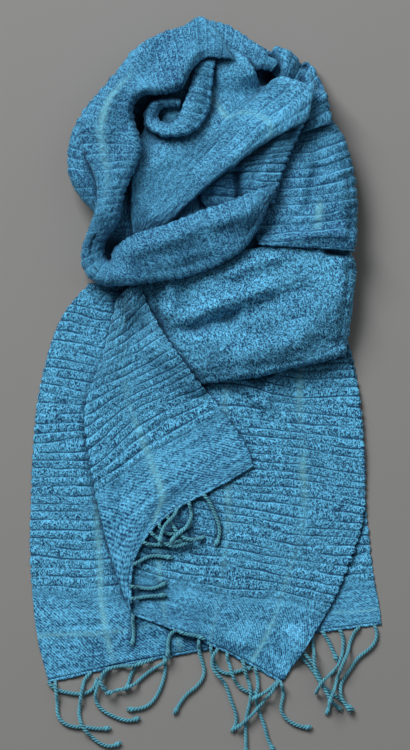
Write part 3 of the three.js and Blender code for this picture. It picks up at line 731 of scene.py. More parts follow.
    @staticmethod
    def _wall(middle: np.ndarray, bumps: np.ndarray) -> tuple[np.ndarray, ...]:
        """Builds the cloth's wall on its smooth middle surface.

        Args:
            middle: the smooth surface, as a grid of points.
            bumps: how far the cloth stands out from it at each point.

        Returns:
            The middle surface with its bumps, the way it faces, and its outer and inner grids.
        """
        normals = grid_normals(middle)
        up = 1 if normals[len(middle) // 2, middle.shape[1] // 2, 2] > 0 else -1
        skin = middle + normals * up * bumps[..., None]
        facing = grid_normals(skin) * up
        outer, inner = skin + facing * CLOTH / 2, skin - facing * CLOTH / 2
        inner[..., 2] = np.where(inner[..., 2] < FLAT_BELOW, 0, inner[..., 2])
        return skin, facing, outer, inner

    @staticmethod
    def _shortfall(
        grids: Sequence[np.ndarray], below: np.ndarray, base: np.ndarray, shape: tuple[int, int]
    ) -> np.ndarray:
        """Measures how far the wall still has to rise to clear what is below.

        Args:
            grids: the wall's outer points and its inner ones.
            below: the height map of what is below.
            base: the number of the plain station that carries each point.
            shape: how many rows and columns of plain stations there are.

        Returns:
            The rise that each plain station lacks, in mm.
        """
        raised = np.zeros(shape)
        for grid in grids:
            for part in between(grid):
                under = below[Heap.cells(part[..., 0], part[..., 1])]
                short = np.where(under > 0, under + LAYER_GAP - part[..., 2], -part[..., 2])
                for corner in (base[:-1, :-1], base[:-1, 1:], base[1:, :-1], base[1:, 1:]):
                    np.maximum.at(raised.ravel(), corner.ravel(), short.ravel())
        return raised

    def _cloth_coordinates(
        self, row_share: np.ndarray, at: np.ndarray, length: float, width: float
    ) -> np.ndarray:
        """Measures each point along and across the woven cloth.

        Args:
            row_share: share of the length for each row.
            at: share of the width for each point.
            length: the stretch's length in mm.
            width: its mean width in mm.

        Returns:
            Two coordinates in mm for each point, with the wander of its ribs.
        """
        along = np.repeat((1 - row_share)[:, None] * length, at.shape[1], axis=1)
        across = at * width
        return np.stack([along + rippled(RIB_WANDER, along, across, self.seed), across], -1)

    def _masks(
        self, cloth: np.ndarray, length: float, width: float
    ) -> tuple[np.ndarray, np.ndarray]:
        """Marks where the cloth is crinkled and where its pale stripes run.

        Args:
            cloth: the cloth coordinates.
            length: the stretch's length in mm.
            width: its mean width in mm.

        Returns:
            The crinkle mask and the stripe mask, from 0 to 1.
        """
        along, across = cloth[..., 0], cloth[..., 1]
        crinkle = np.ones(along.shape)
        if self.hem:
            edge = self.hem + rippled(HEM_EDGE, along, across, self.seed)
            crinkle = crinkle * smooth_step(-9, 12, along - edge)
        stripe = np.zeros(along.shape)
        for share in self.stripes:
            off = across - share * width + rippled(STRIPE_SWAY, along, across, self.seed)
            stripe = np.maximum(stripe, np.exp(-((off / STRIPE_WIDTH) ** 2)))
        share = 1 - along / length
        stripe *= smooth_step(self.striped[0], self.striped[0] + 0.08, share)
        stripe *= smooth_step(self.striped[1], self.striped[1] - 0.08, share)
        if self.cross_stripe:
            off = along - self.cross_stripe
            stripe = np.maximum(stripe, np.exp(-((off / CROSS_STRIPE_WIDTH) ** 2)))
        patchy = 0.55 + rippled(STRIPE_PATCHES, along, across, self.seed)
        return crinkle, stripe * patchy

    def _rib_fade(self, along: np.ndarray, across: np.ndarray) -> np.ndarray:
        """Fades the ribs out where the cloth is pulled smooth.

        Args:
            along: share of the length for each row.
            across: share of the width for each point.

        Returns:
            The share of the ribs that is left at each point.
        """
        fade = np.ones(across.shape)
        if self.ribs_from:
            fade = fade * smooth_step(self.ribs_from - 0.2, self.ribs_from + 0.2, along)
        if self.ribs_from_left:
            low, high = self.ribs_from_left - 0.2, self.ribs_from_left + 0.2
            fade = fade * smooth_step(low, high, across)
        return fade

    def _bumps(self, cloth: np.ndarray, crinkle: np.ndarray, ribs: np.ndarray) -> np.ndarray:
        """Raises the ribs, the puckers and the soft swells of the weave.

        Args:
            cloth: the cloth coordinates.
            crinkle: the crinkle mask.
            ribs: how strongly the ribs stand at each point.

        Returns:
            The height of each point over the plain surface, in mm.
        """
        along, across = cloth[..., 0], cloth[..., 1]
        place = (along / RIB_PITCH) % 1
        puff = np.abs(np.sin(np.pi * place)) ** 0.5
        uneven = np.clip(0.55 + rippled(RIB_HEIGHTS, along, across, self.seed), 0.05, 1.2)
        raised = RIB_HEIGHT * (puff - 0.7) * uneven * ribs
        puckers = rippled(PUCKERS, along, across, self.seed) * PUCKER_HEIGHT * self.puckers
        puckers *= 0.25 + 0.75 * np.clip(crinkle + 0.3, 0, 1)
        swells = rippled(SWELLS, along, across, self.seed)
        return raised + puckers + swells * (0.4 + 0.6 * self.puckers)

    def _scallop(self, flat: np.ndarray, cloth: np.ndarray, ribs: np.ndarray) -> None:
        """Pushes the side edges in and out where the ribs reach them.

        Args:
            flat: the grid's points, which are moved.
            cloth: the cloth coordinates.
            ribs: how strongly the ribs stand at each point.
        """
        along = cloth[..., 0]
        push = SCALLOP * (np.abs(np.sin(np.pi * along / RIB_PITCH)) - 0.6) * np.clip(ribs, 0, 1)
        push += rippled(RAGGED_EDGE, along, np.zeros_like(along), self.seed)
        across = unit(flat[:, -1, :2] - flat[:, 0, :2])[:, None]
        from_left = np.linalg.norm(flat[..., :2] - flat[:, :1, :2], axis=-1)
        from_right = np.linalg.norm(flat[..., :2] - flat[:, -1:, :2], axis=-1)
        near_left, near_right = (
            np.exp(-((off / SCALLOP_REACH) ** 2)) for off in (from_left, from_right)
        )
        out = push * (near_right - near_left)
        flat[..., :2] += across * out[..., None]


# ------------------------------------------------------------------------------ the hidden layers


@dataclass(frozen=True)
class HiddenLayers:
    """The folds of cloth inside the heap, as rounded layers one on the other."""

    rows: tuple[Layer, ...]
    hollows: tuple[Hollow, ...]
    insets: tuple[float, ...] = (3.0, 0.5, 2.2, 0.0, 4.0)  # how far in the edge of each layer lies
    rounding: float = 3.4  # radius of the layers' edges
    overlap: float = 1.04  # how much thicker a layer is than its share of the height
    lowest: float = 3  # least height of them all
    thinnest: float = 0.4
    half: float = 50  # half of the even width that the columns are spaced on
    row_count: int = 54  # rows from an edge to the middle
    column_count: int = 24
    wave: tuple[Ripple, ...] = (Ripple(9, 9, 0.5, 70),)

    def _hollow(self, x: np.ndarray, y: np.ndarray) -> np.ndarray:
        """Returns how deep the hollows are.

        Args:
            x: plan coordinates in mm.
            y: the same for the other axis.

        Returns:
            The depth at each point, in mm.
        """
        depth = np.zeros_like(x)
        for h in self.hollows:
            depth += h.depth * np.exp(-((x - h.x) ** 2 + (y - h.y) ** 2) / h.reach**2)
        return depth

    def lay(self, heap: Heap, materials: Materials) -> bpy.types.Object:
        """Lays the layers on the heap so far and adds them to it.

        Args:
            heap: the height map of everything below.
            materials: the scarf's finishes.

        Returns:
            The layers as one object.
        """
        length = self.rows[0].left_y - self.rows[-1].left_y
        floor = heap.spread_out(heap.heights, 3)
        points, faces, cloth, count = [], [], [], 0
        for number, inset in enumerate(self.insets):
            low, high = number / len(self.insets), (number + 1) / len(self.insets)
            turns = np.linspace(0, 1, 7)[:-1] ** 1.6 * self.rounding
            spaced = np.linspace(self.rounding, length / 2, self.row_count)
            inward = np.concatenate([turns, spaced])
            inward = np.concatenate([inward, length - inward[-2::-1]])
            section = spline(self.rows, np.clip((inward + inset) / (length + 2 * inset), 0, 1))
            lx, ly, rx, ry, height = (section[:, k, None] for k in range(5))
            wide = np.hypot(rx - lx, ry - ly)
            spaced = np.linspace(self.rounding, self.half, self.column_count)
            side = np.concatenate([turns, spaced])
            across = np.concatenate([side, 2 * self.half - side[-2::-1]])[None, :]
            off = np.minimum(across, 2 * self.half - across)
            inner = np.minimum(off, self.rounding)
            plain = (self.rounding + inset) / wide
            t = (off - self.rounding) / (self.half - self.rounding)
            share = np.where(
                off < self.rounding, (inner + inset) / wide, plain + (0.5 - plain) * t
            )
            share = np.where(across > self.half, 1 - share, share)
            x, y = lx + (rx - lx) * share, ly + (ry - ly) * share
            edge = np.minimum(inward, length - inward)[:, None]
            round_off = np.sqrt(
                np.clip(1 - (1 - np.clip(edge / self.rounding, 0, 1)) ** 2, 0, 1)
                * np.clip(1 - (1 - inner / self.rounding) ** 2, 0, 1)
            )
            tall = np.maximum(height - self._hollow(x, y), self.lowest)
            wave = rippled(self.wave, x, y, number) * round_off
            thick = tall * (high - low) / 2 * self.overlap * round_off
            middle = tall * (high + low) / 2
            below = floor[heap.cells(x, y)]
            ground = np.where(below > 0, below + LAYER_GAP, 0)
            top = np.maximum(middle + thick + wave, ground + 2 * self.thinnest)
            under = np.minimum(np.maximum(middle - thick, ground), top - self.thinnest)
            outer, bottom = (np.stack([x, y, z], -1) for z in (top, under))
            points += [outer.reshape(-1, 3), bottom.reshape(-1, 3)]
            faces.append(wall_faces(outer) + count)
            cloth.append(np.tile(np.stack([y * 0.4 + middle * 3, x], -1).reshape(-1, 2), (2, 1)))
            count += 2 * x.size
            heap.record(outer)
        every = np.concatenate(points)
        cloth_map = np.concatenate(cloth) * MM
        # Their low tone is painted shade, for cloth down inside the heap.
        masks = {"crinkle": 1, "ribs": 0.4, "grain": 0.7, "tone": 0.3}
        made = new_mesh("hidden_layers_cloth", every, np.concatenate(faces), cloth_map, masks)
        dress(made, "hidden_layers", "silk_cloth", materials.cloth)
        log.info("hidden layers: %d points", len(every))
        return made


# ------------------------------------------------------------------------------ fringe


@dataclass(frozen=True)
class Fringe:
    """The twisted strands of one hem, with the knotted strip that they hang from."""

    name: str
    strands: tuple[Strand, ...]
    seed: int

    def _strip(self, shell: Shell) -> tuple[np.ndarray, np.ndarray]:
        """Lays out the narrow knotted strip along a hem.

        Args:
            shell: the cloth whose last row is the hem.

        Returns:
            The strip's points and normals, in rows away from the hem.
        """
        hem = shell.middle[-1][shell.plain]
        before = shell.middle[-4][shell.plain]
        normals = shell.facing[-1][shell.plain]
        across = np.gradient(hem, axis=0)
        square = unit(np.cross(across, normals))
        turn = np.sign(np.sum(square * (hem - before), -1, keepdims=True))
        rough = 0.35 * soft_noise(np.arange(len(hem)) / 1.7, np.zeros(len(hem)), self.seed)
        ends = [0.05, STRIP * 0.5, STRIP * 0.85]
        rows = np.stack([hem + turn * square * (d + rough[:, None] * (d > 1)) for d in ends])
        rows[..., 2] = np.maximum(rows[..., 2], CLOTH / 2)
        return rows, np.stack([normals] * len(rows))

    @staticmethod
    def _centre_line(roots: np.ndarray, strand: Strand, heap: Heap) -> np.ndarray:
        """Runs a strand from its root over whatever lies below it.

        Args:
            roots: the row of points that the strands hang from.
            strand: the strand.
            heap: the height map of everything below.

        Returns:
            The points of the strand's centre line.
        """
        at = strand.share * (len(roots) - 1)
        i = min(int(at), len(roots) - 2)
        root = roots[i] + (roots[i + 1] - roots[i]) * (at - i)
        count = max(12, round(strand.length / STRAND_STEP))
        t = np.linspace(0, 1, count + 1)
        turns = np.array([strand.turn_1, strand.turn_2, strand.turn_3])
        total = np.concatenate([[0], np.cumsum(turns)])
        heading = np.radians(strand.heading + np.interp(t, [0, 1 / 3, 2 / 3, 1], total))
        waver = 0.16 * np.sin(t * strand.length / 7 + strand.share * 40)
        step = strand.length / count
        x = root[0] + np.concatenate([[0], np.cumsum(np.cos(heading + waver)[:-1] * step)])
        y = root[1] + np.concatenate([[0], np.cumsum(np.sin(heading + waver)[:-1] * step)])
        under = heap.spread_out(heap.heights, 1)[heap.cells(x, y)]
        z = np.where(under > 0, under, 0) + 0.2 + STRAND / 2
        z = np.maximum(slide(slide(z, 4, 0, np.max), 3, 0, np.mean), z)
        fade = smooth_step(0, 1, np.arange(count + 1) / 6)
        z = (root[2] + 0.5) * (1 - fade) + z * fade
        return np.stack([x, y, z], -1)

    @staticmethod
    def _tube(centres: np.ndarray, radii: np.ndarray, sides: int) -> tuple[np.ndarray, np.ndarray]:
        """Makes a closed tube round a line.

        Args:
            centres: the points of the line.
            radii: the tube's radius at each point.
            sides: how many sides the tube has, an even number.

        Returns:
            Its points and its faces.
        """
        tangent = unit(np.gradient(centres, axis=0))
        side = unit(np.cross(tangent, [0, 0, 1.0]))
        up = np.cross(side, tangent)
        turn = np.arange(sides) * 2 * np.pi / sides
        over, out = np.sin(turn)[None, :, None], np.cos(turn)[None, :, None]
        points = centres[:, None] + (side[:, None] * out + up[:, None] * over) * radii[:, None, None]
        index = np.arange(len(centres) * sides).reshape(-1, sides)
        after = np.roll(index, -1, axis=1)
        around = np.stack([index[:-1], index[1:], after[1:], after[:-1]], -1).reshape(-1, 4)
        tip = np.array([(k, k + 1, sides - 2 - k, sides - 1 - k) for k in range(sides // 2 - 1)])
        faces = np.concatenate([around, tip, (tip + index[-1, 0])[:, ::-1]])
        return points.reshape(-1, 3), faces

    def _plies(self, line: np.ndarray, phase: float) -> list[tuple[np.ndarray, ...]]:
        """Twists two plies round a strand's centre line, with a knot and a frayed tip.

        Args:
            line: the centre line.
            phase: where the plies start to wind round each other, in radians.

        Returns:
            For each ply its points, its faces and how far each point lies inside the strand, for
            painted shade.
        """
        along = np.concatenate([[0], np.cumsum(np.linalg.norm(np.diff(line, axis=0), axis=1))])
        tangent = unit(np.gradient(line, axis=0))
        side = unit(np.cross(tangent, [0, 0, 1.0]))
        up = np.cross(side, tangent)
        left = along[-1] - along
        knot = np.exp(-(((left - KNOT_FROM_TIP) / KNOT_LENGTH) ** 2))
        fray = smooth_step(FRAY_LENGTH, 0, left)
        apart = 1.05 + 0.25 * knot + 0.6 * fray
        thick = (1.0 + 0.6 * knot) * (1 - 0.55 * fray)
        tubes = []
        for ply in (0, math.pi):
            turn = 2 * np.pi * along / TWIST_PITCH + ply + phase
            offset = side * np.cos(turn)[:, None] + up * np.sin(turn)[:, None]
            centres = line + offset * apart[:, None]
            centres[:, 2] = np.maximum(centres[:, 2], thick + 0.15)
            part, faces = self._tube(centres, thick, PLY_SIDES)
            off = np.linalg.norm(part.reshape(-1, PLY_SIDES, 3) - line[:, None], axis=-1).ravel()
            tubes.append((part, faces, smooth_step(1.75, 0.9, off)))
        return tubes

    def lay(self, shell: Shell, heap: Heap, materials: Materials) -> bpy.types.Object:
        """Lays the fringe of a shell on the heap so far and adds it to the heap.

        Args:
            shell: the cloth whose last row is the hem.
            heap: the height map of everything below.
            materials: the scarf's finishes.

        Returns:
            The fringe as one object.
        """
        strip, normals = self._strip(shell)
        outer, inner = strip + normals * CLOTH / 2, strip - normals * CLOTH / 2
        points = [np.concatenate([outer.reshape(-1, 3), inner.reshape(-1, 3)])]
        faces = [wall_faces(strip)]
        strip_faces = len(faces[0])
        count = len(points[0])
        ply_crevice_shade = [np.zeros(count)]
        for number, strand in enumerate(self.strands):
            line = self._centre_line(strip[1], strand, heap)
            for part, part_faces, inside in self._plies(line, number * 1.7):
                points.append(part)
                faces.append(part_faces + count)
                ply_crevice_shade.append(inside)
                count += len(part)
            for shift in (-1, 0, 1):
                edge = line + [0, 0, STRAND / 2]
                aside = np.cross(unit(np.gradient(line, axis=0)), [0, 0, 1.0])
                edge = edge + aside * shift * STRAND / 3
                np.maximum.at(heap.heights, heap.cells(edge[:, 0], edge[:, 1]), edge[:, 2])
        every = np.concatenate(points)
        # The plies' inner sides get painted shade, where they press together.
        masks = {"crinkle": 0, "grain": 1, "tone": 0.5, "ply_crevice_shade": np.concatenate(ply_crevice_shade)}
        made = new_mesh(
            self.name + "_threads", every, np.concatenate(faces), every[:, 1::-1] * MM, masks
        )
        dress(made, self.name, "silk_thread", materials.thread, materials.cloth)
        on_strip = np.zeros(len(made.data.polygons), dtype=np.int32)
        on_strip[:strip_faces] = 1
        made.data.polygons.foreach_set("material_index", on_strip)
        log.info("%s: %d strands, %d points", self.name, len(self.strands), len(every))
        return made


# ------------------------------------------------------------------------------ finishes


@dataclass(frozen=True)
class SilkFinish:
    """Colours and texture sizes of the dyed silk, and the painted shade and highlights on it."""

    light: tuple[float, float, float, float] = (0.15, 0.63, 1.0, 1)
    deep: tuple[float, float, float, float] = (0.002, 0.050, 0.135, 1)
    stripe: tuple[float, float, float, float] = (0.22, 0.62, 0.74, 1)
    roughness: float = 0.72
    sheen: float = 0.22
    sheen_roughness: float = 0.4
    sheen_tint: tuple[float, float, float, float] = (0.35, 0.75, 1.0, 1)
    specular: float = 0.3
    groove: float = 0.9  # how dark the painted shade in each rib's groove is; how pale the painted highlight on its top, and the stripes
    crest_highlight: float = 0.6
    stripe_share: float = 0.6
    patches: float = 0.4  # how much the dye differs from place to place
    bump: float = 0.9
    bump_depth: float = 0.0009
    grain_size: float = 0.00084
    shade: tuple[float, float, float, float] = (0.0015, 0.036, 0.10, 1)  # painted shade, blended in down between the folds and in narrow gaps
    # How far the painted shade looks for other cloth, round the creases and in the narrow gaps, in
    # metres.
    crease_shade_reach: float = 0.024
    gap_shade_reach: float = 0.006
    weave_size: float = 0.0009


@dataclass(frozen=True)
class ThreadFinish:
    """Colours of the twisted fringe."""

    light: tuple[float, float, float, float] = (0.12, 0.54, 0.70, 1)
    deep: tuple[float, float, float, float] = (0.002, 0.035, 0.06, 1)
    roughness: float = 0.7
    sheen: float = 0.2
    bump: float = 0.6
    bump_depth: float = 0.0003


@dataclass(frozen=True)
class FloorFinish:
    """The plain surface that the scarf lies on."""

    colour: tuple[float, float, float, float] = (0.215, 0.215, 0.207, 1)
    roughness: float = 0.85


class Socket(NamedTuple):
    """One socket of a node group."""

    name: str
    kind: str
    is_output: bool = False
    default: float | None = None


class Effect:
    """A shared effect: a node group with a few sockets, built by its own code."""

    def __init__(self, name: str, sockets: Sequence[Socket]) -> None:
        """Starts a node group.

        Args:
            name: its name.
            sockets: its inputs and outputs.
        """
        self.tree = bpy.data.node_groups.new(name, "ShaderNodeTree")
        for s in sockets:
            made = self.tree.interface.new_socket(
                s.name, in_out="OUTPUT" if s.is_output else "INPUT", socket_type=s.kind
            )
            if s.default is not None:
                made.default_value = s.default
        self.inputs = self.tree.nodes.new("NodeGroupInput").outputs
        self.outputs = self.tree.nodes.new("NodeGroupOutput").inputs

    def node(self, kind: str, settings: dict | None = None, **values: object) -> bpy.types.Node:
        """Adds a node to the group.

        Args:
            kind: the node's kind.
            settings: its settings.
            values: values or links for its inputs.

        Returns:
            The node.
        """
        return add_node(self.tree, kind, settings, **values)

    def maths(self, operation: str, *values: object) -> bpy.types.NodeSocket:
        """Adds a sum to the group.

        Args:
            operation: the sum.
            values: what it is worked out from.

        Returns:
            The socket with the result.
        """
        return add_maths(self.tree, operation, *values)


def plug(tree: bpy.types.NodeTree, socket: bpy.types.NodeSocket, value: object) -> None:
    """Links a socket to another one, or sets its constant.

    Args:
        tree: the tree that holds the socket.
        socket: the input to fill.
        value: an output socket or a constant.
    """
    if isinstance(value, bpy.types.NodeSocket):
        tree.links.new(value, socket)
    else:
        socket.default_value = value


def fill_in(tree: bpy.types.NodeTree, node: bpy.types.Node, **values: object) -> None:
    """Fills in a node's inputs.

    Args:
        tree: the tree that holds the node.
        node: the node.
        values: values or links for its inputs, by name with underscores for spaces.
    """
    for name, value in values.items():
        plug(tree, node.inputs[name.replace("_", " ")], value)


def add_node(
    tree: bpy.types.NodeTree, kind: str, settings: dict | None = None, **values: object
) -> bpy.types.Node:
    """Adds a shader node.

    Args:
        tree: the tree that gets it.
        kind: the node's type, without its ShaderNode prefix.
        settings: its own settings, by name.
        values: its inputs, by name with underscores for spaces.

    Returns:
        The node.
    """
    node = tree.nodes.new("ShaderNode" + kind)
    for name, value in (settings or {}).items():
        setattr(node, name, value)
    fill_in(tree, node, **values)
    return node


def add_effect(tree: bpy.types.NodeTree, effect: Effect, **values: object) -> bpy.types.Node:
    """Adds a shared effect to a material.

    Args:
        tree: the material's node tree.
        effect: the effect.
        values: values or links for its inputs, by name.

    Returns:
        The group node.
    """
    return add_node(tree, "Group", {"node_tree": effect.tree}, **values)


def add_mask(tree: bpy.types.NodeTree, name: str) -> bpy.types.NodeSocket:
    """Reads one of the masks that a mesh gives for each of its points.

    Args:
        tree: the material's node tree.
        name: the mask's name.

    Returns:
        The socket with its value.
    """
    return add_node(tree, "Attribute", {"attribute_name": name}).outputs["Fac"]


def add_occlusion_shade(
    tree: bpy.types.NodeTree, distance: float, samples: int, slope: float, start: float
) -> bpy.types.NodeSocket:
    """Tells where other cloth closes a place in, which sets how strong the painted shade is there.

    Args:
        tree: the material's node tree.
        distance: how near the other cloth has to be, in metres.
        samples: how many directions are tried.
        slope: how fast the result falls in open air.
        start: the result where no air is open.

    Returns:
        The socket with the result.
    """
    air = add_node(tree, "AmbientOcclusion", {"samples": samples}, Distance=distance).outputs["AO"]
    return add_maths(tree, "MULTIPLY_ADD", air, -slope, start)


def add_maths(tree: bpy.types.NodeTree, operation: str, *values: object) -> bpy.types.NodeSocket:
    """Adds a sum to a node tree.

    Args:
        tree: the tree.
        operation: the sum.
        values: what it is worked out from.

    Returns:
        The socket with the result.
    """
    node = add_node(tree, "Math", {"operation": operation})
    for socket, value in zip(node.inputs, values):
        plug(tree, socket, value)
    return node.outputs[0]


def add_swing(
    tree: bpy.types.NodeTree, value: object, size: object, onto: object
) -> bpy.types.NodeSocket:
    """Adds a value's swing about one half onto another value.

    Args:
        tree: the tree.
        value: the value that swings.
        size: what its swing is multiplied by.
        onto: the value that it is added onto.

    Returns:
        The socket with the sum.
    """
    return add_maths(tree, "MULTIPLY_ADD", add_maths(tree, "SUBTRACT", value, 0.5), size, onto)


def add_blend(
    tree: bpy.types.NodeTree, factor: object, first: object, second: object, mode: str = "MIX"
) -> bpy.types.NodeSocket:
    """Blends two colours in a node tree.

    Args:
        tree: the tree.
        factor: 0 for the first colour, 1 for the second.
        first: the first colour.
        second: the second colour.
        mode: how they are blended.

    Returns:
        The socket with the blended colour.
    """
    node = add_node(tree, "Mix", {"data_type": "RGBA", "blend_type": mode})
    plug(tree, node.inputs[0], factor)
    plug(tree, node.inputs[6], first)
    plug(tree, node.inputs[7], second)
    return node.outputs[2]


def scaled(tree: bpy.types.NodeTree, vector: object, scale: Sequence[float]) -> object:
    """Scales a vector in a node tree.

    Args:
        tree: the tree.
        vector: the vector.
        scale: a factor for each axis.

    Returns:
        The socket with the scaled vector.
    """
    node = add_node(tree, "VectorMath", {"operation": "MULTIPLY"})
    plug(tree, node.inputs[0], vector)
    plug(tree, node.inputs[1], tuple(scale))
    return node.outputs[0]


@dataclass
class Materials:
    """The scarf's materials and the effects that they share."""

    silk: SilkFinish = SilkFinish()
    threads: ThreadFinish = ThreadFinish()
    surface: FloorFinish = FloorFinish()
    grain: Effect = field(init=False)
    weave: Effect = field(init=False)
    # The ribs' painted shade in their grooves and painted highlight on their crests.
    grooves: Effect = field(init=False)
    cloth: bpy.types.Material = field(init=False)
    thread: bpy.types.Material = field(init=False)
    floor: bpy.types.Material = field(init=False)

    def __post_init__(self) -> None:
        """Makes the shared effects and then the materials."""
        self.grain = self._speckles("crinkle grain", (0.95, 1.15, 1), 0.5)
        self.weave = self._speckles("plain weave", (1, 0.6, 1), 0.5)
        self.grooves = self._rib_shading()
        self.cloth = self._cloth()
        self.thread = self._thread()
        self.floor = self._floor()

    @staticmethod
    def _speckles(name: str, stretched: tuple[float, float, float], softness: float) -> Effect:
        """Makes an effect of small uneven cells, each with a tone of its own.

        Args:
            name: the effect's name.
            stretched: how much finer the cells are along each cloth direction.
            softness: how much of the tone is soft, cloudy and larger than a cell.

        Returns:
            The effect.
        """
        effect = Effect(
            name,
            [
                Socket("Cloth", "NodeSocketVector"),
                Socket("Size", "NodeSocketFloat", default=0.001),
                Socket("Height", "NodeSocketFloat", True),
                Socket("Speckle", "NodeSocketFloat", True),
            ],
        )
        scale = effect.maths("DIVIDE", 1.0, effect.inputs["Size"])
        place = scaled(effect.tree, effect.inputs["Cloth"], stretched)
        cells = effect.node("TexVoronoi", {"voronoi_dimensions": "2D"}, Vector=place, Scale=scale)
        clouds = effect.node(
            "TexNoise", {"noise_dimensions": "2D"}, Vector=place,
            Scale=effect.maths("MULTIPLY", scale, 0.5), Detail=1.0,
        )
        tone = effect.node("SeparateColor", Color=cells.outputs["Color"]).outputs[0]
        cloudy = add_swing(effect.tree, clouds.outputs[0], softness, tone)
        speckle = effect.node(
            "MapRange", {"interpolation_type": "SMOOTHSTEP"}, Value=cloudy, From_Min=0.32,
            From_Max=0.68,
        )
        rounded = effect.maths("SUBTRACT", 0.6, cells.outputs["Distance"])
        height = effect.maths("MULTIPLY_ADD", rounded, 0.6, cloudy)
        effect.tree.links.new(height, effect.outputs["Height"])
        effect.tree.links.new(speckle.outputs[0], effect.outputs["Speckle"])
        return effect

    @staticmethod
    def _rib_shading() -> Effect:
        """Makes the effect that finds the ribs' grooves, for painted shade, and their crests, for a
        painted highlight.

        Returns:
            The effect.
        """
        effect = Effect(
            "painted rib shading",
            [
                Socket("Cloth", "NodeSocketVector"),
                Socket("Groove shade", "NodeSocketFloat", True),
                Socket("Crest highlight", "NodeSocketFloat", True),
            ],
        )
        parts = effect.node("SeparateXYZ", Vector=effect.inputs["Cloth"])
        turns = effect.maths("MULTIPLY", parts.outputs[0], 1 / (RIB_PITCH * MM))
        place = effect.maths("FRACT", turns)
        broken = effect.node(
            "TexNoise", {"noise_dimensions": "2D"},
            Vector=scaled(effect.tree, effect.inputs["Cloth"], (1, 0.22, 1)), Scale=130.0,
            Detail=3.0,
        )
        keep = effect.node(
            "MapRange", Value=broken.outputs[0], From_Min=0.36, From_Max=0.54
        ).outputs[0]
        edge = effect.maths("MINIMUM", place, effect.maths("SUBTRACT", 1.0, place))
        groove = effect.node(
            "MapRange", {"interpolation_type": "SMOOTHSTEP"}, Value=edge, From_Min=0.03,
            From_Max=0.15, To_Min=1.0, To_Max=0.0,
        )
        off = effect.maths("ABSOLUTE", effect.maths("SUBTRACT", place, 0.82))
        crest_highlight = effect.node(
            "MapRange", {"interpolation_type": "SMOOTHSTEP"}, Value=off, From_Min=0.0,
            From_Max=0.1, To_Min=1.0, To_Max=0.0,
        )
        groove_shade_mask = effect.maths("MULTIPLY", groove.outputs[0], keep)
        crest_highlight_mask = effect.maths("MULTIPLY", crest_highlight.outputs[0], keep)
        effect.tree.links.new(groove_shade_mask, effect.outputs["Groove shade"])
        effect.tree.links.new(crest_highlight_mask, effect.outputs["Crest highlight"])
        return effect

    @staticmethod
    def _blank(name: str) -> tuple[bpy.types.NodeTree, bpy.types.Node, bpy.types.Material]:
        """Starts a material.

        Args:
            name: its name.

        Returns:
            Its node tree, its shader node and the material.
        """
        made = bpy.data.materials.new(name)
        made.use_nodes = True
        tree = made.node_tree
        tree.nodes.clear()
        principled = tree.nodes.new("ShaderNodeBsdfPrincipled")
        out = tree.nodes.new("ShaderNodeOutputMaterial")
        tree.links.new(principled.outputs[0], out.inputs[0])
        return tree, principled, made

    def _cloth(self) -> bpy.types.Material:
        """Makes the material of the woven silk.

        Returns:
            The material.
        """
        f = self.silk
        tree, principled, made = self._blank("crinkled silk")
        cloth = add_node(tree, "UVMap", {"uv_map": "cloth"}).outputs[0]
        crinkle, ribs, stripe, rough, tone = (
            add_mask(tree, name) for name in ("crinkle", "ribs", "stripe", "grain", "tone")
        )
        grain = add_effect(tree, self.grain, Cloth=cloth, Size=f.grain_size)
        weave = add_effect(tree, self.weave, Cloth=cloth, Size=f.weave_size)
        rib_shading = add_effect(tree, self.grooves, Cloth=cloth)
        patches = add_node(
            tree, "TexNoise", {"noise_dimensions": "2D"}, Vector=cloth, Scale=26.0, Detail=3.0
        )
        bands = add_node(
            tree, "TexNoise", {"noise_dimensions": "2D"}, Vector=scaled(tree, cloth, (1, 0.06, 1)),
            Scale=170.0, Detail=3.0,
        )
        even = add_swing(tree, weave.outputs["Speckle"], 0.5, 0.0)
        even = add_maths(tree, "MULTIPLY_ADD", bands.outputs[0], 0.75, even)
        crossings = add_node(
            tree, "TexWave", {"bands_direction": "DIAGONAL"}, Vector=cloth, Scale=211.0,
            Distortion=2.0, Detail=1.0,
        )
        even = add_swing(tree, crossings.outputs[1], 0.4, even)
        base = add_node(tree, "Mix", {"data_type": "FLOAT"})
        plug(tree, base.inputs[0], crinkle)
        plug(tree, base.inputs[2], even)
        plug(tree, base.inputs[3], grain.outputs["Speckle"])
        # Each stretch's tone mask, set lower up in the heap as painted shade; the speckle swings
        # about it.
        tone = add_swing(tree, base.outputs[0], rough, tone)
        tone = add_swing(tree, patches.outputs[0], f.patches, tone)
        colour = add_blend(tree, tone, f.deep, f.light)
        # Painted shade in the ribs' grooves and a painted highlight on their crests; the stripes are
        # the dye's own.
        for mask, share, other in (
            (add_maths(tree, "MULTIPLY", rib_shading.outputs["Groove shade"], ribs), f.groove, f.deep),
            (add_maths(tree, "MULTIPLY", rib_shading.outputs["Crest highlight"], ribs), f.crest_highlight, f.light),
            (stripe, f.stripe_share, f.stripe),
        ):
            colour = add_blend(tree, add_maths(tree, "MULTIPLY", mask, share), colour, other)
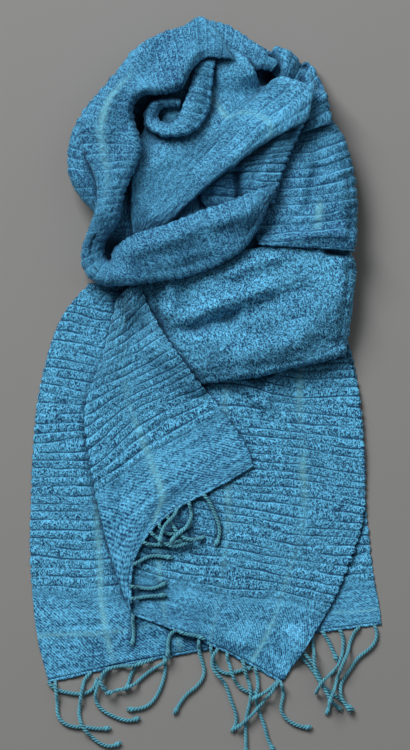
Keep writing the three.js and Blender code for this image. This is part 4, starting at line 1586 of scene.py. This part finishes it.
        # Painted shade: the colour turns towards the shade colour in creases and narrow gaps, where
        # other cloth is close by.
        crease_shade = add_occlusion_shade(tree, f.crease_shade_reach, 6, 1.9, 1.64)
        gap_shade = add_occlusion_shade(tree, f.gap_shade_reach, 4, 0.9, 0.85)
        painted_shade_amount = add_maths(tree, "ADD", crease_shade, gap_shade)
        painted_shade_amount.node.use_clamp = True
        colour = add_blend(tree, painted_shade_amount, colour, f.shade)
        height = add_maths(
            tree, "MULTIPLY_ADD", grain.outputs["Height"],
            add_maths(tree, "MULTIPLY", crinkle, rough),
            add_maths(tree, "MULTIPLY", weave.outputs["Height"], 0.3),
        )
        bump = add_node(tree, "Bump", Height=height, Strength=f.bump, Distance=f.bump_depth)
        fill_in(
            tree, principled, Base_Color=colour, Normal=bump.outputs[0], Roughness=f.roughness,
            Sheen_Weight=f.sheen, Sheen_Roughness=f.sheen_roughness, Sheen_Tint=f.sheen_tint,
            Specular_IOR_Level=f.specular,
        )
        return made

    def _thread(self) -> bpy.types.Material:
        """Makes the material of the twisted fringe.

        Returns:
            The material.
        """
        f = self.threads
        tree, principled, made = self._blank("twisted silk thread")
        place = add_node(tree, "TexCoord").outputs["Object"]
        fibres = add_node(tree, "TexNoise", Vector=place, Scale=900.0, Detail=2.0)
        patches = add_node(tree, "TexNoise", Vector=place, Scale=60.0, Detail=2.0)
        tone = add_maths(tree, "MULTIPLY", patches.outputs[0], 0.6)
        tone = add_maths(tree, "MULTIPLY_ADD", fibres.outputs[0], 0.5, tone)
        # Painted shade: the plies darken towards the strand's axis, where they press together.
        inside = add_maths(tree, "MULTIPLY", add_mask(tree, "ply_crevice_shade"), 0.95)
        colour = add_blend(tree, tone, f.deep, f.light)
        colour = add_blend(tree, inside, colour, f.deep)
        height = fibres.outputs[0]
        bump = add_node(tree, "Bump", Height=height, Strength=f.bump, Distance=f.bump_depth)
        fill_in(
            tree, principled, Base_Color=colour, Normal=bump.outputs[0], Roughness=f.roughness,
            Sheen_Weight=f.sheen,
        )
        return made

    def _floor(self) -> bpy.types.Material:
        """Makes the material of the surface below.

        Returns:
            The material.
        """
        f = self.surface
        tree, principled, made = self._blank("plain floor")
        fill_in(tree, principled, Base_Color=f.colour, Roughness=f.roughness)
        return made


# ------------------------------------------------------------------------------ the scarf


@dataclass(frozen=True)
class SpreadEnd:
    """The end that lies spread on the surface, with its fringe."""

    cloth: Stretch = Stretch(
        "under_tail",
        (
            Section(-115, 92, 110, 86, 0, 0, 0, 0),
            Section(-132, 74, 128, 68, 0, 0, 0, 0),
            Section(-147, 50, 140, 42, 0, 0, 0, 0),
            Section(-160, 10, 150, 6, 0, 0, 0, 0),
            Section(-168, -30, 155, -32, 0, 0, 0, 0),
            Section(-172, -75, 158, -74, 0, 0, 0, 0),
            Section(-174, -125, 160, -120, 0, 0, 0, 0),
            Section(-175, -175, 164, -163, 0, 0, 0, 0),
            Section(-172, -225, 169, -203, 0, 0, 0, 2),
            Section(-167, -265, 174, -230, 0, 0, 0, 4),
            Section(-157, -305, 176, -247, 0, 0, 0, 5),
        ),
        seed=11,
        step=1.75,
        folds=(
            Fold(-92, 80, -98, -20, 11, 3),
            Fold(-140, 60, -155, -60, 9, 2),
            Fold(-66, -235, -30, -268, 9, 5),
            Fold(-150, -150, -120, -280, 10, 1.5),
        ),
        hem=62,
        stripes=(0.2, 0.4, 0.6, 0.8),
        cross_stripe=26,
    )
    fringe: Fringe = Fringe(
        "under_fringe",
        (
            Strand(0.0, 62, -62, 50, 32, 57),
            Strand(0.02, 93, -95, 18, 80, -5),
            Strand(0.13, 105, -130, 38, 42, 85),
            Strand(0.186, 89, -145, 55, 68, 45),
            Strand(0.28, 34, -135, 15, 5, 5),
            Strand(0.315, 72, -165, -10, 22, 125),
            Strand(0.35, 76, -88, -10, -50, -30),
            Strand(0.37, 77, -136, -6, -12, -10),
            Strand(0.73, 100, -65, 12, 6, 20),
            Strand(0.745, 90, -68, 14, -12, -45),
            Strand(0.796, 87, -102, 26, 10, 40),
            Strand(0.823, 34, -62, 0, 4, 0),
            Strand(0.874, 75, -48, -62, -25, 20),
            Strand(0.937, 86, -140, 40, -18, 25),
            Strand(0.979, 103, -72, -75, 38, 65),
        ),
        seed=12,
    )


@dataclass(frozen=True)
class UpperEnd:
    """The other end, lying on the spread one, with its fringe."""

    cloth: Stretch = Stretch(
        "over_tail",
        (
            Section(-60, 40, 140, 20, 1, 2, 3, 0),
            Section(-92, 15, 149, 0, 1, 2, 3, 0),
            Section(-116, -15, 155, -35, 1, 1.5, 3, 0),
            Section(-118, -50, 158, -80, 0.5, 1, 2.5, 0),
            Section(-113, -88, 160, -125, 0.5, 1, 2, 0),
            Section(-108, -125, 154, -160, 0.5, 1, 1.5, 0),
            Section(-100, -160, 139, -200, 0.5, 1, 1, 0),
            Section(-92, -190, 124, -233, 0.5, 1, 1, 0),
            Section(-84, -213, 107, -263, 0.5, 1, 0.5, 0),
            Section(-78, -228, 92, -286, 0.5, 1, 0.5, 2),
            Section(-73, -237, 78, -306, 0.5, 1, 0.5, 5),
        ),
        seed=21,
        folds=(
            Fold(36, 2, 52, -24, 6, 7),
            Fold(66, -4, 60, -30, 7, 5),
            Fold(60, -8, 92, -120, 13, 3),
            Fold(10, -30, 30, -90, 10, 3),
            Fold(-10, -225, 34, -268, 12, 2.5),
            Fold(80, -300, 120, -215, 8, 2),
            Fold(10, -120, 70, -165, 16, 2),
        ),
        curls=Curls(right=2.5),
        hem=52,
        stripes=(0.22, 0.5, 0.78),
        rests_on=("under_tail_cloth",),
    )
    fringe: Fringe = Fringe(
        "over_fringe",
        (
            Strand(0.01, 32, -97, 3, 2, 0),
            Strand(0.29, 30, -150, 40, 10, 0),
            Strand(0.305, 28, -25, 8, -5, -10),
            Strand(0.44, 87, -85, 5, -72, 52),
            Strand(0.52, 62, -95, 40, 60, 20),
            Strand(0.57, 93, -122, 70, -18, -50),
            Strand(0.63, 60, -90, 15, 45, 20),
            Strand(0.735, 97, -62, -28, -12, 28),
            Strand(0.82, 89, -80, -10, 22, 4),
            Strand(0.985, 34, -135, -6, -4, 0),
            Strand(0.99, 66, -128, 8, -25, 15),
            Strand(0.997, 68, -66, -32, 60, 62),
        ),
        seed=22,
    )


@dataclass(frozen=True)
class TurnedEnd:
    """The corner of the upper end, turned over to the left and lying on top, with its fringe."""

    cloth: Stretch = Stretch(
        "turned_end",
        (
            Section(-88, 76, -65, 97, 5, 4, 4, 0),
            Section(-95, 46, -61, 80, 5, 5, 3, 0),
            Section(-103, 18, -51, 58, 5, 4, 3, 0),
            Section(-113, -10, -37, 35, 6, 4, 3, 0),
            Section(-119, -38, -21, 13, 6, 3, 2, 0),
            Section(-117, -68, -7, -6, 6, 2.5, 0.5, 0),
            Section(-113, -95, 8, -24, 5, 2, 0.5, 0),
            Section(-109, -122, 22, -42, 5, 2, 0.5, 0),
            Section(-101, -150, 35, -61, 5, 2, 0.5, 3),
            Section(-93, -180, 43, -75, 5, 1.5, 0.5, 12),
            Section(-84, -209, 46, -83, 5, 1, 0.5, 25),
            Section(-74, -236, 47, -89, 4, 1, 0.5, 35),
        ),
        seed=31,
        folds=(
            Fold(-104, -130, -80, -225, 11, 3),
            Fold(-78, 90, -96, 10, 12, 4),
            Fold(-84, -94, -83, -150, 7, -3),
        ),
        curls=Curls(left=5),
        skew=0.6,
        hem=66,
        stripes=(0.42,),
        held=Held.FOLDED,
        rests_on=("over_tail_cloth",),
    )
    fringe: Fringe = Fringe(
        "turned_fringe",
        (
            Strand(0.02, 36, -4, 6, 10, 4),
            Strand(0.07, 38, -8, 8, 16, 4),
            Strand(0.17, 42, 20, 0, -18, -5),
            Strand(0.3, 44, -20, 10, 25, 10),
            Strand(0.37, 48, -50, 25, 30, 20),
            Strand(0.44, 42, -75, 50, 55, 10),
            Strand(0.5, 50, -80, 30, 45, 20),
            Strand(0.56, 40, -100, -30, 10, 30),
            Strand(0.63, 50, -70, -40, -25, 10),
            Strand(0.71, 58, -35, -30, -25, -22),
        ),
        seed=32,
    )


@dataclass(frozen=True)
class LowerHeap:
    """The broad stretches below and beside the heap's eye."""

    band: Stretch = Stretch(
        "lower_band",
        (
            Section(-66, 106, 132, 140, 0, 4, 8, 0),
            Section(-70, 84, 149, 113, 0, 6, 12, 0),
            Section(-64, 60, 149, 90, 0, 9, 14, 0),
            Section(-52, 34, 146, 66, 0, 10, 15, 0),
            Section(-36, 12, 143, 43, 1, 10, 15, 0),
            Section(-18, -10, 139, 21, 3, 8, 14, -5),
        ),
        seed=41,
        grain=0.85,
        tone=0.46,
        folds=(
            Fold(-36, 96, -34, 62, 8, 9),
            Fold(-55, 90, -49, 52, 6, -6),
            Fold(27, 101, 68, 115, 6, 5),
            Fold(-30, 52, 8, 68, 7, 5),
            Fold(8, 68, 61, 86, 8, 5),
            Fold(-12, 45, 27, 57, 7, -5),
            Fold(27, 57, 96, 85, 9, -5),
            Fold(33, 14, 96, 38, 12, 6),
            Fold(96, 38, 134, 79, 12, 4),
            Fold(124, 123, 149, 119, 5, -9),
        ),
        curls=Curls(right=9, end=7),
        ribs=0.12,
        puckers=1.25,
        held=Held.FOLDED,
        rests_on=("over_tail_cloth", "hidden_layers_cloth"),
    )
    panel: Stretch = Stretch(
        "right_panel",
        (
            Section(82, 280, 118, 274, 1, 3, 8, 0),
            Section(80, 252, 126, 254, 1, 3, 10, -4),
            Section(72, 224, 139, 233, 2, 3, 12, -6),
            Section(65, 199, 147, 210, 2, 4, 12, -7),
            Section(60, 177, 151, 185, 3, 5, 12, -6),
            Section(55, 158, 152, 160, 5, 5, 10, -4),
            Section(51, 140, 151, 136, 2, 3, 6, 0),
            Section(54, 130, 148, 123, 0, 0.5, 4, 0),
        ),
        seed=51,
        grain=0.48,
        tone=0.28,
        folds=(
            Fold(60, 141, 142, 138, 5, 3),
            Fold(96, 246, 78, 176, 9, -3),
            Fold(110, 204, 103, 166, 6, -5),
            Fold(116, 209, 146, 219, 3, 2.5),
            Fold(112, 191, 146, 205, 3, 2.5),
            Fold(128, 190, 138, 150, 8, 2),
        ),
        curls=Curls(left=3, right=8, end=4),
        ribs=0.75,
        stripes=(0.6,),
        striped=(0.68, 0.92),
        held=Held.FOLDED,
        rests_on=("lower_band_cloth", "hidden_layers_cloth"),
    )


@dataclass(frozen=True)
class UpperHeap:
    """The wound stretches round the heap's eye, from the bottom up."""

    ruffle: Stretch = Stretch(
        "top_ruffle",
        (
            Section(54, 326, 48, 306, 6, 2, 4, 0),
            Section(63, 319, 57, 303, 3, 1, 3, 0),
            Section(71, 327, 66, 301, 10, 3, 5, 0),
            Section(86, 321, 77, 288, 10, 3, 5, 0),
            Section(95, 311, 81, 280, 3, 1, 3, 0),
            Section(104, 311, 86, 277, 11, 3, 5, 0),
            Section(115, 294, 92, 268, 9, 2, 5, 0),
            Section(122, 271, 95, 254, 8, 2, 4, 0),
            Section(125, 249, 95, 240, 6, 2, 3, 0),
        ),
        seed=61,
        grain=0.5,
        tone=0.32,
        folds=(
            Fold(68, 330, 66, 312, 5, -12),
            Fold(99, 312, 96, 292, 5, -12),
            Fold(58, 324, 54, 304, 6, 5),
            Fold(84, 318, 82, 292, 7, 5),
            Fold(112, 300, 104, 276, 7, 5),
        ),
        curls=Curls(start=3, left=5),
        ribs=0.8,
        held=Held.GATHERED,
        rests_on=("right_panel_cloth", "hidden_layers_cloth"),
    )
    strip: Stretch = Stretch(
        "top_strip",
        (
            Section(-9, 352, -4, 324, 3, 3, 5, 0),
            Section(13, 352, 9, 312, 4, 3, 7, 0),
            Section(35, 342, 26, 302, 4, 3, 7, 0),
            Section(51, 329, 41, 299, 4, 3, 6, 0),
            Section(62, 317, 55, 303, 4, 3, 5, 0),
            Section(72, 309, 66, 301, 3, 2, 3, 0),
        ),
        seed=71,
        grain=0.48,
        tone=0.32,
        curls=Curls(left=6),
        ribs=0.5,
        held=Held.GATHERED,
        rests_on=("top_ruffle_cloth", "hidden_layers_cloth"),
    )
    outer_turn: Stretch = Stretch(
        "outer_turn",
        (
            Section(-100, 287, -65, 265, 4, 2, 2, 0),
            Section(-119, 265, -75, 247, 8, 2, 2, 0),
            Section(-131, 242, -80, 225, 12, 2, 3, 0),
            Section(-136, 217, -83, 205, 13, 3, 4, 0),
            Section(-132, 191, -87, 185, 13, 3, 4, 0),
            Section(-118, 170, -93, 170, 11, 2, 4, 0),
            Section(-108, 161, -95, 161, 6, 1, 3, 0),
        ),
        seed=81,
        grain=0.45,
        tone=0.27,
        curls=Curls(left=10, end=3),
        ribs=0.5,
        held=Held.GATHERED,
        rests_on=("hidden_layers_cloth",),
    )
    inner_fold: Stretch = Stretch(
        "inner_fold",
        (
            Section(55, 238, 99, 252, 7, 7, 11, 0),
            Section(41, 219, 90, 231, 6, 8, 10, 0),
            Section(12, 201, 79, 208, 4, 7, 8, 0),
            Section(-6, 184, 72, 187, 3, 6, 7, 0),
            Section(2, 166, 67, 170, 2, 4, 5, 0),
        ),
        seed=91,
        grain=0.5,
        tone=0.36,
        folds=(Fold(31, 200, 36, 168, 5, -9), Fold(12, 190, 12, 170, 8, 4)),
        curls=Curls(left=3, right=4),
        held=Held.FOLDED,
        rests_on=("hidden_layers_cloth", "right_panel_cloth"),
    )
    cross_band: Stretch = Stretch(
        "cross_band",
        (
            Section(-70, 138, 20, 328, 3, 5, 3, 38),
            Section(-68, 139, 37, 317, 2, 8, 5, 28),
            Section(-65, 140, 48, 304, 1, 8, 5, 16),
            Section(-61, 141, 57, 287, 1, 9, 5, 10),
            Section(-57, 142, 73, 296, 1, 10, 8, 6),
            Section(-53, 142, 94, 291, 1, 11, 10, 5),
            Section(-48, 143, 106, 278, 1, 12, 6, 5),
            Section(-43, 144, 101, 252, 1, 13, 1, 8),
        ),
        seed=101,
        grain=0.52,
        tone=0.4,
        folds=(
            Fold(5, 300, 5, 266, 7, -4),
            Fold(-60, 205, 30, 250, 14, 4),
            Fold(-62, 175, -45, 150, 10, 3),
            Fold(68, 226, 104, 254, 15, -8),
        ),
        curls=Curls(start=5, end=9, right=5),
        bridge=10,
        ribs=0.55,
        ribs_from=0.4,
        ribs_from_left=0.3,
        stripes=(0.75,),
        held=Held.GATHERED,
        rests_on=("inner_fold_cloth", "hidden_layers_cloth"),
    )
    coil: Stretch = Stretch(
        "eye_coil",
        (
            Section(12, 318, -4, 323, 2, 1, 3, 0),
            Section(8, 300, -11, 306, 3, 6, 11, 0),
            Section(6, 280, -15, 286, 3, 7, 15, 0),
            Section(2, 259, -23, 264, 5, 6, 15, 0),
            Section(-10, 242, -27, 254, 9, 5, 12, 0),
            Section(-28, 236, -33, 249, 12, 3, 8, 0),
            Section(-46, 238, -38, 249, 12, 3, 5, 0),
            Section(-59, 248, -46, 254, 12, 3, 3, 0),
            Section(-59, 262, -46, 260, 12, 3, 3, 0),
            Section(-50, 272, -41, 265, 12, 2, 3, 0),
            Section(-36, 274, -32, 266, 12, 2, 3, 0),
            Section(-24, 272, -24, 265, 11, 2, 3, 0),
        ),
        seed=111,
        grain=0.48,
        tone=0.34,
        curls=Curls(start=2, left=4),
        ribs=0.5,
        held=Held.GATHERED,
        rests_on=("hidden_layers_cloth", "cross_band_cloth"),
    )
    collar: Stretch = Stretch(
        "collar",
        (
            Section(25, 320, 28, 313, 0, 0.5, 0.5, 0),
            Section(14, 338, 15, 314, 3, 2, 1, 0),
            Section(-2, 356, 0, 314, 9, 4, 4, 0),
            Section(-22, 347, -13, 302, 17, 4, 11, 0),
            Section(-43, 340, -24, 284, 19, 5, 14, 0),
            Section(-65, 327, -42, 278, 20, 6, 16, 0),
            Section(-87, 302, -60, 277, 20, 6, 17, 0),
            Section(-108, 277, -71, 266, 19, 6, 18, 0),
            Section(-121, 250, -69, 249, 16, 7, 17, 0),
            Section(-121, 225, -63, 229, 9, 9, 15, 0),
            Section(-112, 203, -68, 209, 7, 11, 14, 0),
            Section(-107, 185, -76, 190, 11, 8, 14, 0),
            Section(-109, 165, -82, 169, 14, 7, 14, 0),
            Section(-116, 143, -87, 149, 16, 6, 14, 0),
            Section(-123, 120, -98, 134, 17, 5, 13, 0),
            Section(-117, 100, -99, 120, 17, 4, 12, 0),
            Section(-99, 89, -94, 114, 14, 4, 12, 0),
            Section(-73, 89, -90, 126, 7, 8, 12, 0),
            Section(-45, 93, -69, 139, 2, 13, 14, 0),
            Section(-15, 98, -40, 148, 0, 14, 14, 0),
            Section(15, 110, -5, 162, 0, 14, 14, 0),
            Section(39, 126, 30, 174, 0, 13, 13, 0),
            Section(50, 141, 48, 181, 3, 8, 10, 0),
            Section(59, 160, 62, 186, 6, 4, 7, 0),
            Section(68, 180, 72, 188, 3, 1, 4, 0),
        ),
        seed=121,
        grain=0.42,
        tone=0.26,
        folds=(
            Fold(-44, 327, 2, 329, 9, -6),
            Fold(-60, 318, -30, 330, 10, 3),
            Fold(-100, 240, -104, 196, 8, 2),
            Fold(-72, 121, 42, 160, 10, 7),
        ),
        curls=Curls(start=1.5, left=11, right=8, end=4),
        bridge=12,
        ribs=0.45,
        stripes=(0.35,),
        striped=(0.2, 0.5),
        held=Held.GATHERED,
        rests_on=("outer_turn_cloth", "cross_band_cloth", "hidden_layers_cloth"),
    )


HIDDEN_LAYERS = HiddenLayers(
    rows=(
        Layer(-30, 343, 30, 343, 14),
        Layer(-70, 315, 76, 315, 22),
        Layer(-95, 285, 103, 285, 26),
        Layer(-114, 255, 112, 255, 28),
        Layer(-123, 225, 130, 225, 28),
        Layer(-120, 195, 138, 195, 28),
        Layer(-103, 165, 141, 165, 28),
        Layer(-104, 135, 140, 135, 28),
        Layer(-98, 108, 137, 108, 24),
        Layer(-60, 78, 135, 84, 20),
        Layer(-38, 48, 132, 62, 16),
        Layer(-18, 24, 128, 44, 11),
        Layer(0, 8, 118, 32, 5),
    ),
    hollows=(
        Hollow(-56, 250, 27, 27),
        Hollow(18, 182, 22, 9),
        Hollow(-78, 190, 14, 8),
        Hollow(-94, 122, 12, 14),
        Hollow(65, 297, 10, 20),
    ),
)


CORNERS = ((-1, -1), (1, -1), (1, 1), (-1, 1))


class Lamp(NamedTuple):
    """A soft square light that faces the scarf: its place and side in metres, its power in watts."""

    name: str
    place: tuple[float, float, float]
    size: float
    power: float


@dataclass(frozen=True)
class Studio:
    """The floor, the soft light and the camera, in metres."""

    height: float = 5.0  # of the camera
    view_length: float = 0.75  # how much of the floor the long side of the view takes in
    sensor: float = 36
    floor_reach: float = 4
    floor_drop: float = 0.0005  # how far the floor is kept clear of the cloth
    sky: tuple[float, float, float, float] = (0.9, 0.95, 1.0, 1)
    sky_strength: float = 0.14
    lamps: tuple[Lamp, ...] = (
        Lamp("key", (-1.8, 3.05, 3.2), 2.4, 290),
        Lamp("fill", (1.7, 1.7, 2.2), 2.4, 14),
    )

    def build(self, materials: Materials) -> None:
        """Adds the floor, the lights and the camera.

        Args:
            materials: the finishes, for the floor's.
        """
        mesh = bpy.data.meshes.new("floor")
        corners = [(x * self.floor_reach, y * self.floor_reach, 0) for x, y in CORNERS]
        mesh.from_pydata(corners, [], [(0, 1, 2, 3)])
        floor = bpy.data.objects.new("floor", mesh)
        floor.location.z = -self.floor_drop
        bpy.context.scene.collection.objects.link(floor)
        mesh.materials.append(materials.floor)
        for lamp in self.lamps:
            self._light(lamp)
        world = bpy.data.worlds.new("studio")
        world.use_nodes = True
        background = world.node_tree.nodes["Background"]
        fill_in(world.node_tree, background, Color=self.sky, Strength=self.sky_strength)
        bpy.context.scene.world = world
        lens = bpy.data.cameras.new("camera")
        lens.sensor_width = self.sensor
        lens.lens = self.sensor * self.height / self.view_length
        lens.clip_end = 50
        camera = bpy.data.objects.new("camera", lens)
        x, y = (-v * MM for v in FOOTPRINT_CENTRE)
        camera.location = (x, y, self.height)
        camera.rotation_euler = (0, 0, 0)
        bpy.context.scene.collection.objects.link(camera)
        bpy.context.scene.camera = camera

    @staticmethod
    def _light(lamp: Lamp) -> None:
        """Hangs a lamp and turns it to the scarf.

        Args:
            lamp: the lamp.
        """
        light = bpy.data.lights.new(lamp.name, "AREA")
        light.size, light.energy = lamp.size, lamp.power
        made = bpy.data.objects.new(lamp.name, light)
        made.location = lamp.place
        made.rotation_euler = (-Vector(lamp.place)).to_track_quat("-Z", "Y").to_euler()
        bpy.context.scene.collection.objects.link(made)


def main() -> None:
    """Builds the scarf from the bottom up, then its studio."""
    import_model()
    bpy.context.scene.view_settings.view_transform = "Standard"
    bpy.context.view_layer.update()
    materials = Materials()
    heap = Heap()
    spread, upper, turned = SpreadEnd(), UpperEnd(), TurnedEnd()
    lower, wound = LowerHeap(), UpperHeap()
    spread_cloth = spread.cloth.lay(heap, materials)
    HIDDEN_LAYERS.lay(heap, materials)
    spread.fringe.lay(spread_cloth, heap, materials)
    upper_cloth = upper.cloth.lay(heap, materials)
    upper.fringe.lay(upper_cloth, heap, materials)
    lower.band.lay(heap, materials)
    turned_cloth = turned.cloth.lay(heap, materials)
    turned.fringe.lay(turned_cloth, heap, materials)
    lower.panel.lay(heap, materials)
    for stretch in (
        wound.ruffle,
        wound.strip,
        wound.outer_turn,
        wound.inner_fold,
        wound.cross_band,
        wound.coil,
        wound.collar,
    ):
        stretch.lay(heap, materials)
    Studio().build(materials)


if __name__ == "__main__":
    logging.basicConfig(level=logging.INFO, format="%(name)s: %(message)s")
    main()
